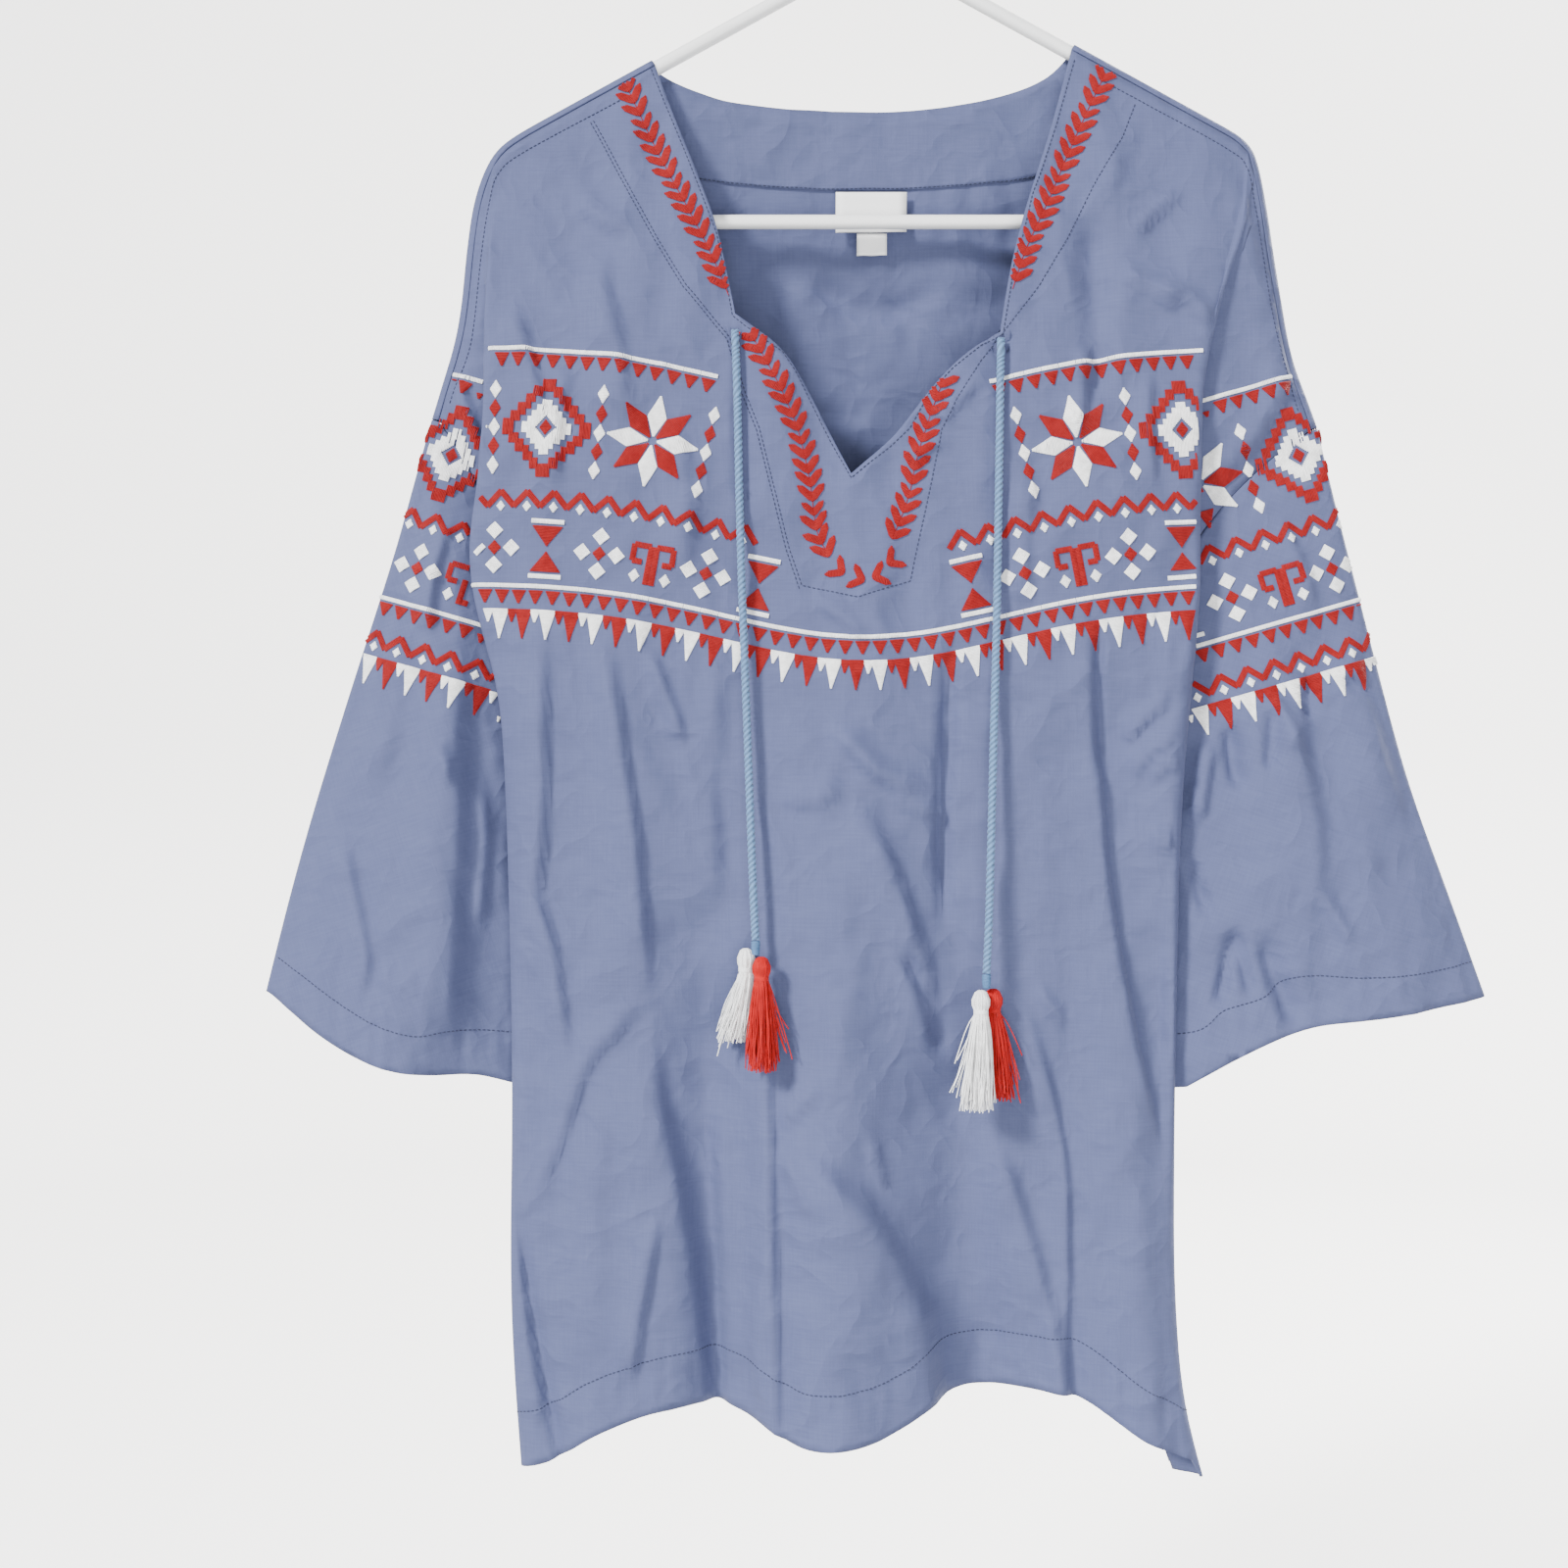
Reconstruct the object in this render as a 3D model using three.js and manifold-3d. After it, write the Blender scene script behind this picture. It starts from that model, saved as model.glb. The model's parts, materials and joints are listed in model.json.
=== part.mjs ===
// An embroidered tunic on its hanger, cut and sewn from thin cotton.
// Millimetres, +Z up. The front faces -Y. The origin is the inner top of the hanger's hook.
import * as THREE from "three";
import { mergeVertices } from "three/addons/utils/BufferGeometryUtils.js";
import Module from "manifold-3d";

const { clamp, degToRad, lerp, smoothstep } = THREE.MathUtils;
const wasm = await Module();
wasm.setup();

// ---------- Driving dimensions ----------

const CLOTH = 1.2; // thickness of every sewn panel
const SEAM_GAP = 0.35; // clearance between two pieces that are sewn together
const FACING = 1.0; // thickness of the neck facings and the label
const LINING_GAP = 0.65; // clearance of a facing from its panel

const HANGER = {
  tube: 8, // diameter of the plastic tube
  apexZ: -62, // where the two arms would meet
  slope: degToRad(28.8), // fall of each arm
  barZ: -216, // height of the trouser bar
  endRadius: 24.5, // bend from an arm into the bar
  apexRadius: 30, // bend at the top
  hookRadius: 22, // centre line of the hook, which fits a rail of up to 36
  hookEnd: degToRad(205), // where the hook's free end stops, counted from +X
  sides: 10,
};
const RIDGE_RADIUS = 5; // the cloth's fold over an arm, to the middle of its wall
const ARM_END_X = HANGER.endRadius * Math.sin(HANGER.slope) + bendCentreX();

const ROWS_ABOVE = 8; // rows of faces from the shoulder to the underarm
const ROWS_BELOW = 12; // rows of faces from the underarm to the hem
const OVERARM_COLUMNS = 4; // across a dropped shoulder
const UNDERARM_Z = -436;
const ARMHOLE_BOW = 14; // rise of the armhole seam over a straight line

const PANEL = {
  belly: 7, // how far the middle stands out beyond the folded edges
  moveFrom: 84, // columns further out than this go in with the folded edge
  foldsEnd: 0.86, // share of the half width from which the large folds die out
  shoulderEase: 120, // height in which a panel leaves the arm and takes its full depth
  tipEase: 20, // height in which the folded edge opens below the arm's tip
  foldEase: 70, // height in which the edge's fold takes its full radius
  foldRadius: 4,
  tuckEase: 60,
  foldGrowth: 1.2, // power with which a large fold deepens on its way down
  foldOverrun: 1.05, // a fold still deepens this far past the end of its line
  edgeStart: 0.08, // share of the folded edge's depth at its outermost line
  edgeTurn: 0.55, // share that the rest of its turn adds
};
// Columns round a folded edge, by share of its half turn; the last one is the tuck.
const EDGE_TURNS = [0.25, 0.5, 0.78, 1];
const SLEEVE = {
  rings: 9,
  columns: 8, // across one side
  gap: 0.6, // clearance of the top ring from the armhole
  innerEnd: 0.9, // the top ring stops short of the underarm point
  settle: 0.25, // share of the length in which it leaves the armhole's line
  cuffRadius: 4, // the outer fold at the cuff, to the middle of the wall
  innerRadius: 1.4, // the inner fold
  bellyShift: 0.9, // power that moves the fullest line towards the outer fold
  bellyShape: 1.1,
  waveGrowth: 1.5, // power with which the waves deepen towards the cuff
};

const COLOUR = { cloth: 0x858db0, cord: 0x6f9cc4, red: 0xd93a36, white: 0xf2f1ee };

// ---------- Tables: the first row of each names its columns ----------

// The fold over the shoulder, from the end of the arm round its tip and down the overarm.
const RIDGE = {
  left: table(["x", "z"], [
    [-196.5, -170], [-208, -177.5], [-214, -186], [-218.5, -196], [-221.5, -208],
    [-224.5, -229], [-227, -255], [-231, -284], [-237.5, -304], [-244.5, -328],
  ]),
  right: table(["x", "z"], [
    [196.5, -170], [206.6, -178.8], [210, -191.5], [211.5, -200], [213.2, -210],
    [216.7, -234], [222.4, -267], [227.5, -295], [236, -317], [241.5, -333],
  ]),
};
const TIP_ROW = 2; // the row of RIDGE from which the front's edge folds down

// The front's folded edge: its outermost x at each height.
const FRONT_EDGE = {
  left: table(["z", "x"], [
    [-186, -214], [-282, -217], [-339, -218], [-385, -224], [-428, -227], [-444, -217],
    [-472, -210], [-504, -207], [-585, -204], [-700, -202], [-801, -203], [-856, -201],
    [-910, -197],
  ]),
  right: table(["z", "x"], [
    [-191.5, 210], [-203, 208], [-237, 198.5], [-261, 188], [-284, 183], [-307, 178.5],
    [-345, 177.5], [-409, 177], [-461, 175], [-490, 171], [-542, 167], [-640, 164.5],
    [-812, 163], [-856, 167], [-888, 170], [-912, 179],
  ]),
};
// Depth of the folded edge, of the hidden tuck behind it, and how far that tuck goes in.
const EDGE_SECTION = table(["z", "depth", "tuckDepth", "tuckIn"], [
  [-186, 5.0, 5.0, -2], [-215, 8, 6, -4], [-250, 14, 8, -2], [-300, 19, 8.5, 5],
  [-350, 21, 8.5, 13], [-390, 22, 7, 20], [-418, 22, 4, 25], [-436, 22, 0.75, 26],
  [-600, 22, 0.75, 25], [-800, 21, 0.75, 22], [-915, 19, 0.75, 14],
]);
const FRONT_NECK = table(["x", "z"], [
  [-124, -130.2], [-117, -151], [-106, -178], [-95.5, -205.5], [-87.4, -227], [-82, -254],
  [-79, -273], [-72.6, -278], [-52, -293], [-44, -305], [-36, -321], [-25, -343],
  [-15.6, -361.5], [-6.5, -353.5], [4.3, -345], [15, -335], [25.8, -316], [39, -302],
  [55, -289], [66, -283.6], [70, -260], [72.6, -243], [78, -227], [83, -205], [89, -189],
  [97, -165], [108, -121.4],
]);
const BACK_NECK = table(["x", "z"], [
  [-124, -130.2], [-119, -134], [-107, -139.5], [-85, -147], [-52, -151], [-8, -152.5],
  [25, -151.5], [58, -147], [80, -141], [97, -134], [108, -121.4],
]);
const FRONT_HEM = table(["x", "z"], [
  [-200, -907], [-181, -902], [-159, -888], [-132, -877], [-107, -871], [-77, -872],
  [-52, -884], [-36, -888], [-5, -885], [15, -877], [30, -868], [52, -864], [85, -864],
  [112, -868], [143, -890], [159, -899], [180, -913],
]);
const BACK_HEM = table(["x", "z"], [
  [-200, -906], [-165, -884], [-120, -873], [-60, -870], [0, -870], [60, -868],
  [110, -872], [150, -890], [180, -911],
]);
// Columns of faces across the body, at the shoulder's height.
const BODY_COLUMNS = [
  -208, -196.5, -184, -172, -160, -148, -136, -124, -116, -106.5, -97, -88, -79, -66, -54,
  -42, -29, -15.6, -4, 9, 23, 38, 52, 66, 73, 82, 91, 99.5, 108, 121, 135, 149, 163, 177,
  187, 196.5, 202, 206.6,
];
// The panels' large folds: a line from the top down to the bottom, where its depth is full.
// A positive depth stands out of the panel, a negative one is a trough.
const FRONT_FOLDS = table(["topX", "topZ", "bottomX", "bottomZ", "width", "depth"], [
  [-25, -400, -24, -900, 33, 31],
  [-96, -420, -86, -900, 19, -21],
  [40, -420, 55, -900, 28, -24],
  [112, -330, 96, -900, 17, -12],
  [126, -450, 152, -900, 15, 7],
  [-150, -480, -148, -900, 22, 5],
]);
const BACK_FOLDS = table(["topX", "topZ", "bottomX", "bottomZ", "width", "depth"], [
  [-120, -380, -128, -900, 24, 12],
  [-62, -330, -70, -900, 22, -12],
  [8, -300, 2, -900, 30, 17],
  [70, -360, 74, -900, 22, -13],
  [118, -420, 122, -900, 18, 10],
]);
// Middle line of the sleeve's outer fold, and its hidden inner fold.
const SLEEVE_OUTER = {
  left: table(["x", "z"], [
    [-244.5, -328], [-255.5, -367], [-264.5, -400], [-286, -466], [-300, -510],
    [-315, -559], [-327, -603], [-338, -647],
  ]),
  right: table(["x", "z"], [
    [241.5, -333], [249.5, -367], [258, -400], [278, -477], [293, -532], [311, -581],
    [327, -625], [336, -650],
  ]),
};
const SLEEVE_INNER = {
  left: table(["x", "z"], [
    [-202, -436], [-198, -472], [-191, -505], [-186, -600], [-185, -700],
  ]),
  right: table(["x", "z"], [
    [154, -436], [155, -472], [153, -505], [148.5, -600], [147.5, -700],
  ]),
};
// Sag of the cuff under a straight line, and the sleeve's waves, by the share across it.
const CUFF = {
  left: table(["across", "sag", "wave"], [
    [0, 0, 0], [0.1, 7, 0], [0.21, 13, 1], [0.35, 17, 3], [0.5, 15.5, 6], [0.62, 11, 1],
    [0.72, 3.5, -5], [0.85, 3, -1], [1, 0, 0],
  ]),
  right: table(["across", "sag", "wave"], [
    [0, 0, 0], [0.11, -2, 0], [0.22, -3.5, -1], [0.34, -6, -3], [0.5, -12, -5],
    [0.6, -11, -4], [0.7, -7, 1], [0.8, -2, 4], [0.87, 4, 3], [1, 0, 0],
  ]),
};
const SLEEVE_DEPTH = table(["down", "depth"], [[0, 2], [0.25, 5], [0.6, 12], [1, 17]]);

// The lower edge of the neck facing: 43 wide on the shoulder, down to a bib below the slit.
const FACING_EDGE = table(["x", "z"], [
  [-160.7, -156.5], [-153, -171], [-138, -200], [-122, -230], [-106, -257], [-82, -286],
  [-73.7, -316], [-65.6, -337], [-57.5, -370], [-49.5, -402], [-42.5, -423.5],
  [-12, -430], [16.7, -421], [20.4, -402], [27.4, -370], [34, -337], [42, -321],
  [55, -300], [66, -286], [88, -257], [104, -230], [120, -198], [136, -171], [144, -147.5],
]);
const BACK_FACING_EDGE = table(["x", "z"], [
  [-158, -158], [-140, -173], [-124, -182], [-108, -188], [-75, -192.5], [-41, -194.6],
  [-7, -195.2], [26, -194.6], [59, -192.4], [90, -188], [110, -180], [126, -168],
  [142, -151],
]);
const FACING_CLEAR_OF_ARM = 7; // the facing stops this far under an arm's middle line
const LABEL_LIFT = 0.2; // the label's stand off the panel, for the panel's curve
const LABEL = { x: -3, topZ: -197, width: 40, height: 22 };
const SIZE_TAB = { x: -2.5, width: 17, height: 12 };

// The ties, from the corner of the neck slit down the front.
const CORD_DIAMETER = 5;
const CORD_ROUTE = {
  left: table(["x", "y", "z"], [
    [-79, -27.6, -283], [-78.6, -30.2, -292], [-77.6, -32.5, -320], [-76.5, -34, -372],
    [-75, -35.5, -425], [-73, -37, -478], [-71, -39, -531], [-69, -41.5, -584],
    [-67.5, -43.5, -615],
  ]),
  right: table(["x", "y", "z"], [
    [66.5, -27.8, -287.5], [66, -30.4, -297], [65, -33, -347], [64, -34.5, -404],
    [63, -36, -452], [61.5, -37.5, -504], [60, -39.5, -557], [58.5, -41.5, -604],
    [57, -43, -633],
  ]),
};
const CORD_STEPS = 32;
const CORD_SIDES = 8;
const BINDING = { radius: 3.3, height: 8, sides: 10 };
const TASSEL = {
  headRadius: 5.2,
  headHeight: 15,
  neckRadius: 4.3,
  topRadius: 2.2,
  crown: 1.5, // depth in which the head rounds off
  waist: 4, // height of the neck above the head's lower end
  rim: 1, // height of the thick end that holds the strands
  root: 2, // depth of the end below the strands' roots
  skirt: 46, // length of the longest strands below the head
  uneven: 5, // how much shorter the shortest strand is
  strand: 1.1,
  sides: 10,
  rings: table(["radius", "count", "spread"], [[1.1, 3, 1.1], [2.6, 8, 1.9], [4.0, 13, 1.8]]),
};
// Each cord's two tassels: the place of the head from the cord's end, and the skirt's lean.
const TASSEL_PLACES = {
  left: { red: { x: 3.2, y: -2.5, lean: [-0.5, -1] }, white: { x: -4.2, y: 5.2, lean: [-4, 2] } },
  right: { red: { x: 4.2, y: 5.2, lean: [2.5, 2] }, white: { x: -3.2, y: -2.5, lean: [-3, -1] } },
};

// ---------- Small helpers ----------

// Rows of numbers as objects with the named columns.
function table(names, rows) {
  return rows.map((row) => Object.fromEntries(names.map((name, i) => [name, row[i]])));
}

// The value of one column where another column has the given value, on straight lines.
function read(rows, key, at, value) {
  const rising = rows.at(-1)[key] > rows[0][key];
  const past = rows.findIndex((row) => (rising ? row[key] >= at : row[key] <= at));
  if (past === 0) return rows[0][value];
  if (past < 0) return rows.at(-1)[value];
  const [a, b] = [rows[past - 1], rows[past]];
  return lerp(a[value], b[value], (at - a[key]) / (b[key] - a[key]));
}

// The same, on a curve that is smooth at the rows.
function readSmooth(rows, key, at, value) {
  const rising = rows.at(-1)[key] > rows[0][key];
  const past = rows.findIndex((row) => (rising ? row[key] >= at : row[key] <= at));
  if (past === 0) return rows[0][value];
  if (past < 0) return rows.at(-1)[value];
  const slope = (i) => {
    const [a, b] = [rows[Math.max(i - 1, 0)], rows[Math.min(i + 1, rows.length - 1)]];
    return (b[value] - a[value]) / (b[key] - a[key]);
  };
  const [a, b] = [rows[past - 1], rows[past]];
  const width = b[key] - a[key];
  const t = (at - a[key]) / width;
  const [m0, m1] = [slope(past - 1) * width, slope(past) * width];
  const cubic = (2 * t ** 3 - 3 * t ** 2 + 1) * a[value] + (t ** 3 - 2 * t ** 2 + t) * m0;
  return cubic + (3 * t ** 2 - 2 * t ** 3) * b[value] + (t ** 3 - t ** 2) * m1;
}

// A smooth curve through a table's rows, in the XZ plane or in space.
function curveOf(rows) {
  const points = rows.map(({ x, y = 0, z }) => new THREE.Vector3(x, y, z));
  return new THREE.CatmullRomCurve3(points, false, "centripetal");
}

const inward = (side) => (side === "left" ? 1 : -1);
const armZ = (x) => HANGER.apexZ - Math.tan(HANGER.slope) * Math.abs(x);

// x of the centre of the bend at an arm's end, which touches the arm and the bar.
function bendCentreX() {
  const room = HANGER.apexZ - HANGER.barZ - HANGER.endRadius * (1 + 1 / Math.cos(HANGER.slope));
  return room / Math.tan(HANGER.slope);
}

// ---------- Closed solids from sheets and tubes ----------

const toMesh = (name, geometry, color, roughness = 0.9) => {
  const material = new THREE.MeshStandardMaterial({ color, roughness, metalness: 0 });
  const mesh = new THREE.Mesh(geometry, material);
  mesh.name = name;
  return mesh;
};

// Grids of points that share their edges become one wall of even thickness.
// Each grid's rows run down and its columns run to the right, seen from outside.
function wallOf(grids, thickness) {
  const index = new Map();
  const points = [];
  const idOf = (p) => {
    const key = [p.x, p.y, p.z].map((v) => Math.round(v * 200)).join();
    if (!index.has(key)) {
      index.set(key, points.length);
      points.push(p);
    }
    return index.get(key);
  };
  const faces = [];
  const addFace = (a, b, c) => {
    if (a !== b && b !== c && c !== a) faces.push([a, b, c]);
  };
  for (const rows of grids) {
    const ids = rows.map((row) => row.map(idOf));
    for (let i = 0; i + 1 < ids.length; i++) {
      for (let j = 0; j + 1 < ids[i].length; j++) {
        addFace(ids[i][j], ids[i + 1][j], ids[i + 1][j + 1]);
        addFace(ids[i][j], ids[i + 1][j + 1], ids[i][j + 1]);
      }
    }
  }
  return thicken(points, faces, thickness);
}

function thicken(points, faces, thickness) {
  const normals = points.map(() => new THREE.Vector3());
  const edges = new Map();
  for (const [a, b, c] of faces) {
    const ab = points[b].clone().sub(points[a]);
    const normal = points[c].clone().sub(points[a]);
    normal.crossVectors(ab, normal);
    for (const id of [a, b, c]) normals[id].add(normal);
    for (const [from, to] of [[a, b], [b, c], [c, a]]) {
      if (edges.has(`${to},${from}`)) edges.delete(`${to},${from}`);
      else edges.set(`${from},${to}`, [from, to]);
    }
  }
  const n = points.length;
  const vertices = [];
  for (const side of [0.5, -0.5]) {
    points.forEach((p, i) => {
      const offset = normals[i].clone().normalize().multiplyScalar(side * thickness);
      vertices.push(...p.clone().add(offset).toArray());
    });
  }
  const triangles = [];
  for (const [a, b, c] of faces) triangles.push(a, b, c, a + n, c + n, b + n);
  for (const [from, to] of edges.values()) {
    triangles.push(to, from, from + n, to, from + n, to + n);
  }
  return geometryOf(vertices, triangles);
}

function geometryOf(vertices, triangles) {
  const geometry = new THREE.BufferGeometry();
  geometry.setAttribute("position", new THREE.Float32BufferAttribute(vertices, 3));
  geometry.setIndex(triangles);
  return geometry;
}

// A round tube along points in the XZ plane.
function flatTube(path, radius, sides, closed) {
  const vertices = [];
  const triangles = [];
  path.forEach((p, i) => {
    const before = path[closed ? (i + path.length - 1) % path.length : Math.max(i - 1, 0)];
    const after = path[closed ? (i + 1) % path.length : Math.min(i + 1, path.length - 1)];
    const along = after.clone().sub(before).normalize();
    for (let k = 0; k < sides; k++) {
      const angle = (2 * Math.PI * k) / sides;
      const across = radius * Math.cos(angle);
      vertices.push(p.x - along.y * across, radius * Math.sin(angle), p.y + along.x * across);
    }
  });
  const rings = closed ? path.length : path.length - 1;
  for (let i = 0; i < rings; i++) {
    const [a, b] = [i * sides, ((i + 1) % path.length) * sides];
    for (let k = 0; k < sides; k++) {
      const next = (k + 1) % sides;
      triangles.push(a + k, b + next, a + next, a + k, b + k, b + next);
    }
  }
  if (!closed) {
    const last = (path.length - 1) * sides;
    for (let k = 1; k + 1 < sides; k++) {
      triangles.push(0, k, k + 1, last, last + k + 1, last + k);
    }
  }
  return geometryOf(vertices, triangles);
}

function solidOf(geometry) {
  const plain = geometry.clone();
  plain.deleteAttribute("normal");
  plain.deleteAttribute("uv");
  const merged = mergeVertices(plain, 1e-3);
  return new wasm.Manifold(
    new wasm.Mesh({
      numProp: 3,
      vertProperties: merged.attributes.position.array,
      triVerts: new Uint32Array(merged.index.array),
    }),
  );
}

function joined(geometries) {
  const whole = geometries.map(solidOf).reduce((sum, solid) => sum.add(solid));
  const { numProp, vertProperties, triVerts } = whole.getMesh();
  const vertices = [];
  for (let i = 0; i < vertProperties.length; i += numProp) {
    vertices.push(...vertProperties.subarray(i, i + 3));
  }
  return geometryOf(vertices, [...triVerts]);
}

// ---------- The body panels ----------

// Top of a panel at x: the arm, then the bend at its end.
function shoulderZ(x) {
  if (Math.abs(x) <= ARM_END_X) return armZ(x);
  const rows = RIDGE[x < 0 ? "left" : "right"].slice(0, TIP_ROW + 1);
  return readSmooth(rows, "x", x, "z");
}

const isInNeck = (x) => x > FRONT_NECK[0].x && x < FRONT_NECK.at(-1).x;

// The folded edge moves in as it goes down, and takes the columns near it along.
function columnX(x, z) {
  let moved = x;
  for (const side of ["left", "right"]) {
    const tip = RIDGE[side][TIP_ROW].x;
    const shift = edgeX(side, z) - tip;
    const share = smoothstep(Math.abs(x), PANEL.moveFrom, Math.abs(tip));
    moved += x * tip > 0 ? shift * share : 0;
  }
  return moved;
}

const edgeX = (side, z) => readSmooth(FRONT_EDGE[side], "z", z, "x");

function foldDepth(folds, x, z) {
  return folds.reduce((sum, fold) => {
    const down = clamp((fold.topZ - z) / (fold.topZ - fold.bottomZ), 0, PANEL.foldOverrun);
    const middle = lerp(fold.topX, fold.bottomX, down);
    const share = down ** PANEL.foldGrowth;
    return sum + fold.depth * share * Math.exp(-(((x - middle) / fold.width) ** 2));
  }, 0);
}

// Distance of a panel's wall from the hanger's plane, between the folded edges.
function panelDepth(folds, x, z) {
  const [left, right] = [edgeX("left", z), edgeX("right", z)];
  const across = clamp((2 * (x - left)) / (right - left) - 1, -1, 1);
  const belly = PANEL.belly * (1 - across ** 4);
  const edgeFade = 1 - smoothstep(Math.abs(across), PANEL.foldsEnd, 1);
  const full = read(EDGE_SECTION, "z", z, "depth") + belly + foldDepth(folds, x, z) * edgeFade;
  const below = Math.min(shoulderZ(x), FRONT_NECK[0].z) - z;
  return lerp(RIDGE_RADIUS, full, smoothstep(below, 0, PANEL.shoulderEase));
}

// One body panel: the middle, a folded edge on each side, and the dropped shoulders.
function bodyPanel({ facing, folds, neck, hem, tuckedEdge }) {
  const place = (x, depth, z) => new THREE.Vector3(x, facing * depth, z);
  const rows = [];
  const count = ROWS_ABOVE + ROWS_BELOW;
  const heightAt = (top, bottom, i) =>
    i <= ROWS_ABOVE
      ? lerp(top, UNDERARM_Z, i / ROWS_ABOVE)
      : lerp(UNDERARM_Z, bottom, (i - ROWS_ABOVE) / ROWS_BELOW);
  const columns = BODY_COLUMNS.map((x) => {
    const top = isInNeck(x) ? read(neck, "x", x, "z") : shoulderZ(x);
    const seam = facing < 0 && !isInNeck(x) ? SEAM_GAP : 0;
    return Array.from({ length: count + 1 }, (_, i) => {
      const bottom = readSmooth(hem, "x", columnX(x, UNDERARM_Z * 2), "z");
      const z = heightAt(top - seam, bottom, i);
      const at = columnX(x, z);
      return place(at, panelDepth(folds, at, z), z);
    });
  });
  const edges = {};
  for (const side of ["left", "right"]) {
    edges[side] = foldedEdge(side, { facing, hem, heightAt, count, tuckedEdge, place });
  }
  for (let i = 0; i <= count; i++) {
    rows.push([
      ...edges.left.map((column) => column[i]).reverse(),
      ...columns.map((column) => column[i]),
      ...edges.right.map((column) => column[i]),
    ]);
  }
  const grids = [rows];
  for (const side of ["left", "right"]) {
    const outer = droppedShoulder(side, edges[side].at(-1), facing, place);
    grids.push(side === "left" ? outer.map((row) => [...row].reverse()) : outer);
  }
  return { grids, columns, edges };
}

// Columns from the outermost line of the panel round its fold to the side seam.
function foldedEdge(side, { facing, hem, heightAt, count, tuckedEdge, place }) {
  const tip = RIDGE[side][TIP_ROW];
  const into = inward(side);
  const bottom = hem[side === "left" ? 0 : hem.length - 1].z;
  return EDGE_TURNS.map((turn) =>
    Array.from({ length: count + 1 }, (_, i) => {
      const z = heightAt(tip.z - (facing < 0 ? SEAM_GAP : 0), bottom, i);
      const settled = smoothstep(tip.z - z, 0, PANEL.tipEase);
      const section = (name) =>
        lerp(name === "tuckIn" ? 0 : RIDGE_RADIUS, read(EDGE_SECTION, "z", z, name), settled);
      const x = edgeX(side, z) + into * tuckedEdge * smoothstep(tip.z - z, 0, PANEL.tuckEase);
      const size = PANEL.foldRadius * smoothstep(tip.z - z, 0, PANEL.foldEase);
      const angle = Math.PI * turn;
      const reach = size * (1 - Math.sin(angle)) * (turn < 0.5 ? 1 : 0.5);
      if (turn === 1) {
        return place(edgeX(side, z) + into * section("tuckIn"), section("tuckDepth"), z);
      }
      const sunk = PANEL.edgeStart + PANEL.edgeTurn * turn ** 2;
      const depth = lerp(section("depth"), section("tuckDepth"), sunk);
      return place(x + into * reach, depth, z);
    }),
  );
}

// The overarm stretch between the tuck and the fold over the arm, above the armhole seam.
function droppedShoulder(side, tuck, facing, place) {
  const outer = overarmStations(side);
  return tuck.slice(0, ROWS_ABOVE + 1).map((from, i) =>
    Array.from({ length: OVERARM_COLUMNS + 1 }, (_, j) => {
      if (j === 0) return from;
      const across = j / OVERARM_COLUMNS;
      const to = place(outer[i].x, RIDGE_RADIUS, outer[i].z - (facing < 0 ? SEAM_GAP : 0));
      const bow = ARMHOLE_BOW * (i / ROWS_ABOVE) * Math.sin(Math.PI * across);
      return from.clone().lerp(to, across).add(new THREE.Vector3(0, 0, bow));
    }),
  );
}

// Points on the middle line of the overarm fold, one for each row above the underarm.
function overarmStations(side) {
  const curve = curveOf(RIDGE[side].slice(TIP_ROW));
  return curve.getSpacedPoints(ROWS_ABOVE);
}

// The back's lip: it passes over the arms and ends at the shoulder seam, on the front.
function shoulderLip(side) {
  const stations = BODY_COLUMNS.filter((x) => !isInNeck(x) && x * inward(side) < 0)
    .map((x) => new THREE.Vector3(x, 0, shoulderZ(x)))
    .sort((a, b) => Math.abs(a.x) - Math.abs(b.x));
  stations.push(...overarmStations(side));
  const start = SEAM_GAP / RIDGE_RADIUS;
  const angles = [start, 0.25 * Math.PI, 0.5 * Math.PI, 0.75 * Math.PI, Math.PI];
  const lines = stations.map((p, i) => {
    const before = stations[Math.max(i - 1, 0)];
    const after = stations[Math.min(i + 1, stations.length - 1)];
    const along = after.clone().sub(before).normalize();
    const out = new THREE.Vector3(-along.z, 0, along.x).multiplyScalar(inward(side) * -1);
    return angles.map((angle) =>
      p
        .clone()
        .addScaledVector(out, RIDGE_RADIUS * Math.sin(angle))
        .add(new THREE.Vector3(0, -RIDGE_RADIUS * Math.cos(angle), 0)),
    );
  });
  return side === "left" ? lines.map((line) => [...line].reverse()) : lines;
}

const PANELS = {
  front: { facing: -1, folds: FRONT_FOLDS, neck: FRONT_NECK, hem: FRONT_HEM, tuckedEdge: 0 },
  back: { facing: 1, folds: BACK_FOLDS, neck: BACK_NECK, hem: BACK_HEM, tuckedEdge: 5 },
};

function front() {
  return toMesh("front", wallOf(bodyPanel(PANELS.front).grids, CLOTH), COLOUR.cloth);
}

function back() {
  const turned = bodyPanel(PANELS.back).grids.map((rows) => rows.map((row) => [...row].reverse()));
  const lips = ["left", "right"].map(shoulderLip);
  return toMesh("back", wallOf([...turned, ...lips], CLOTH), COLOUR.cloth);
}

// ---------- The sleeves ----------

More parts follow.
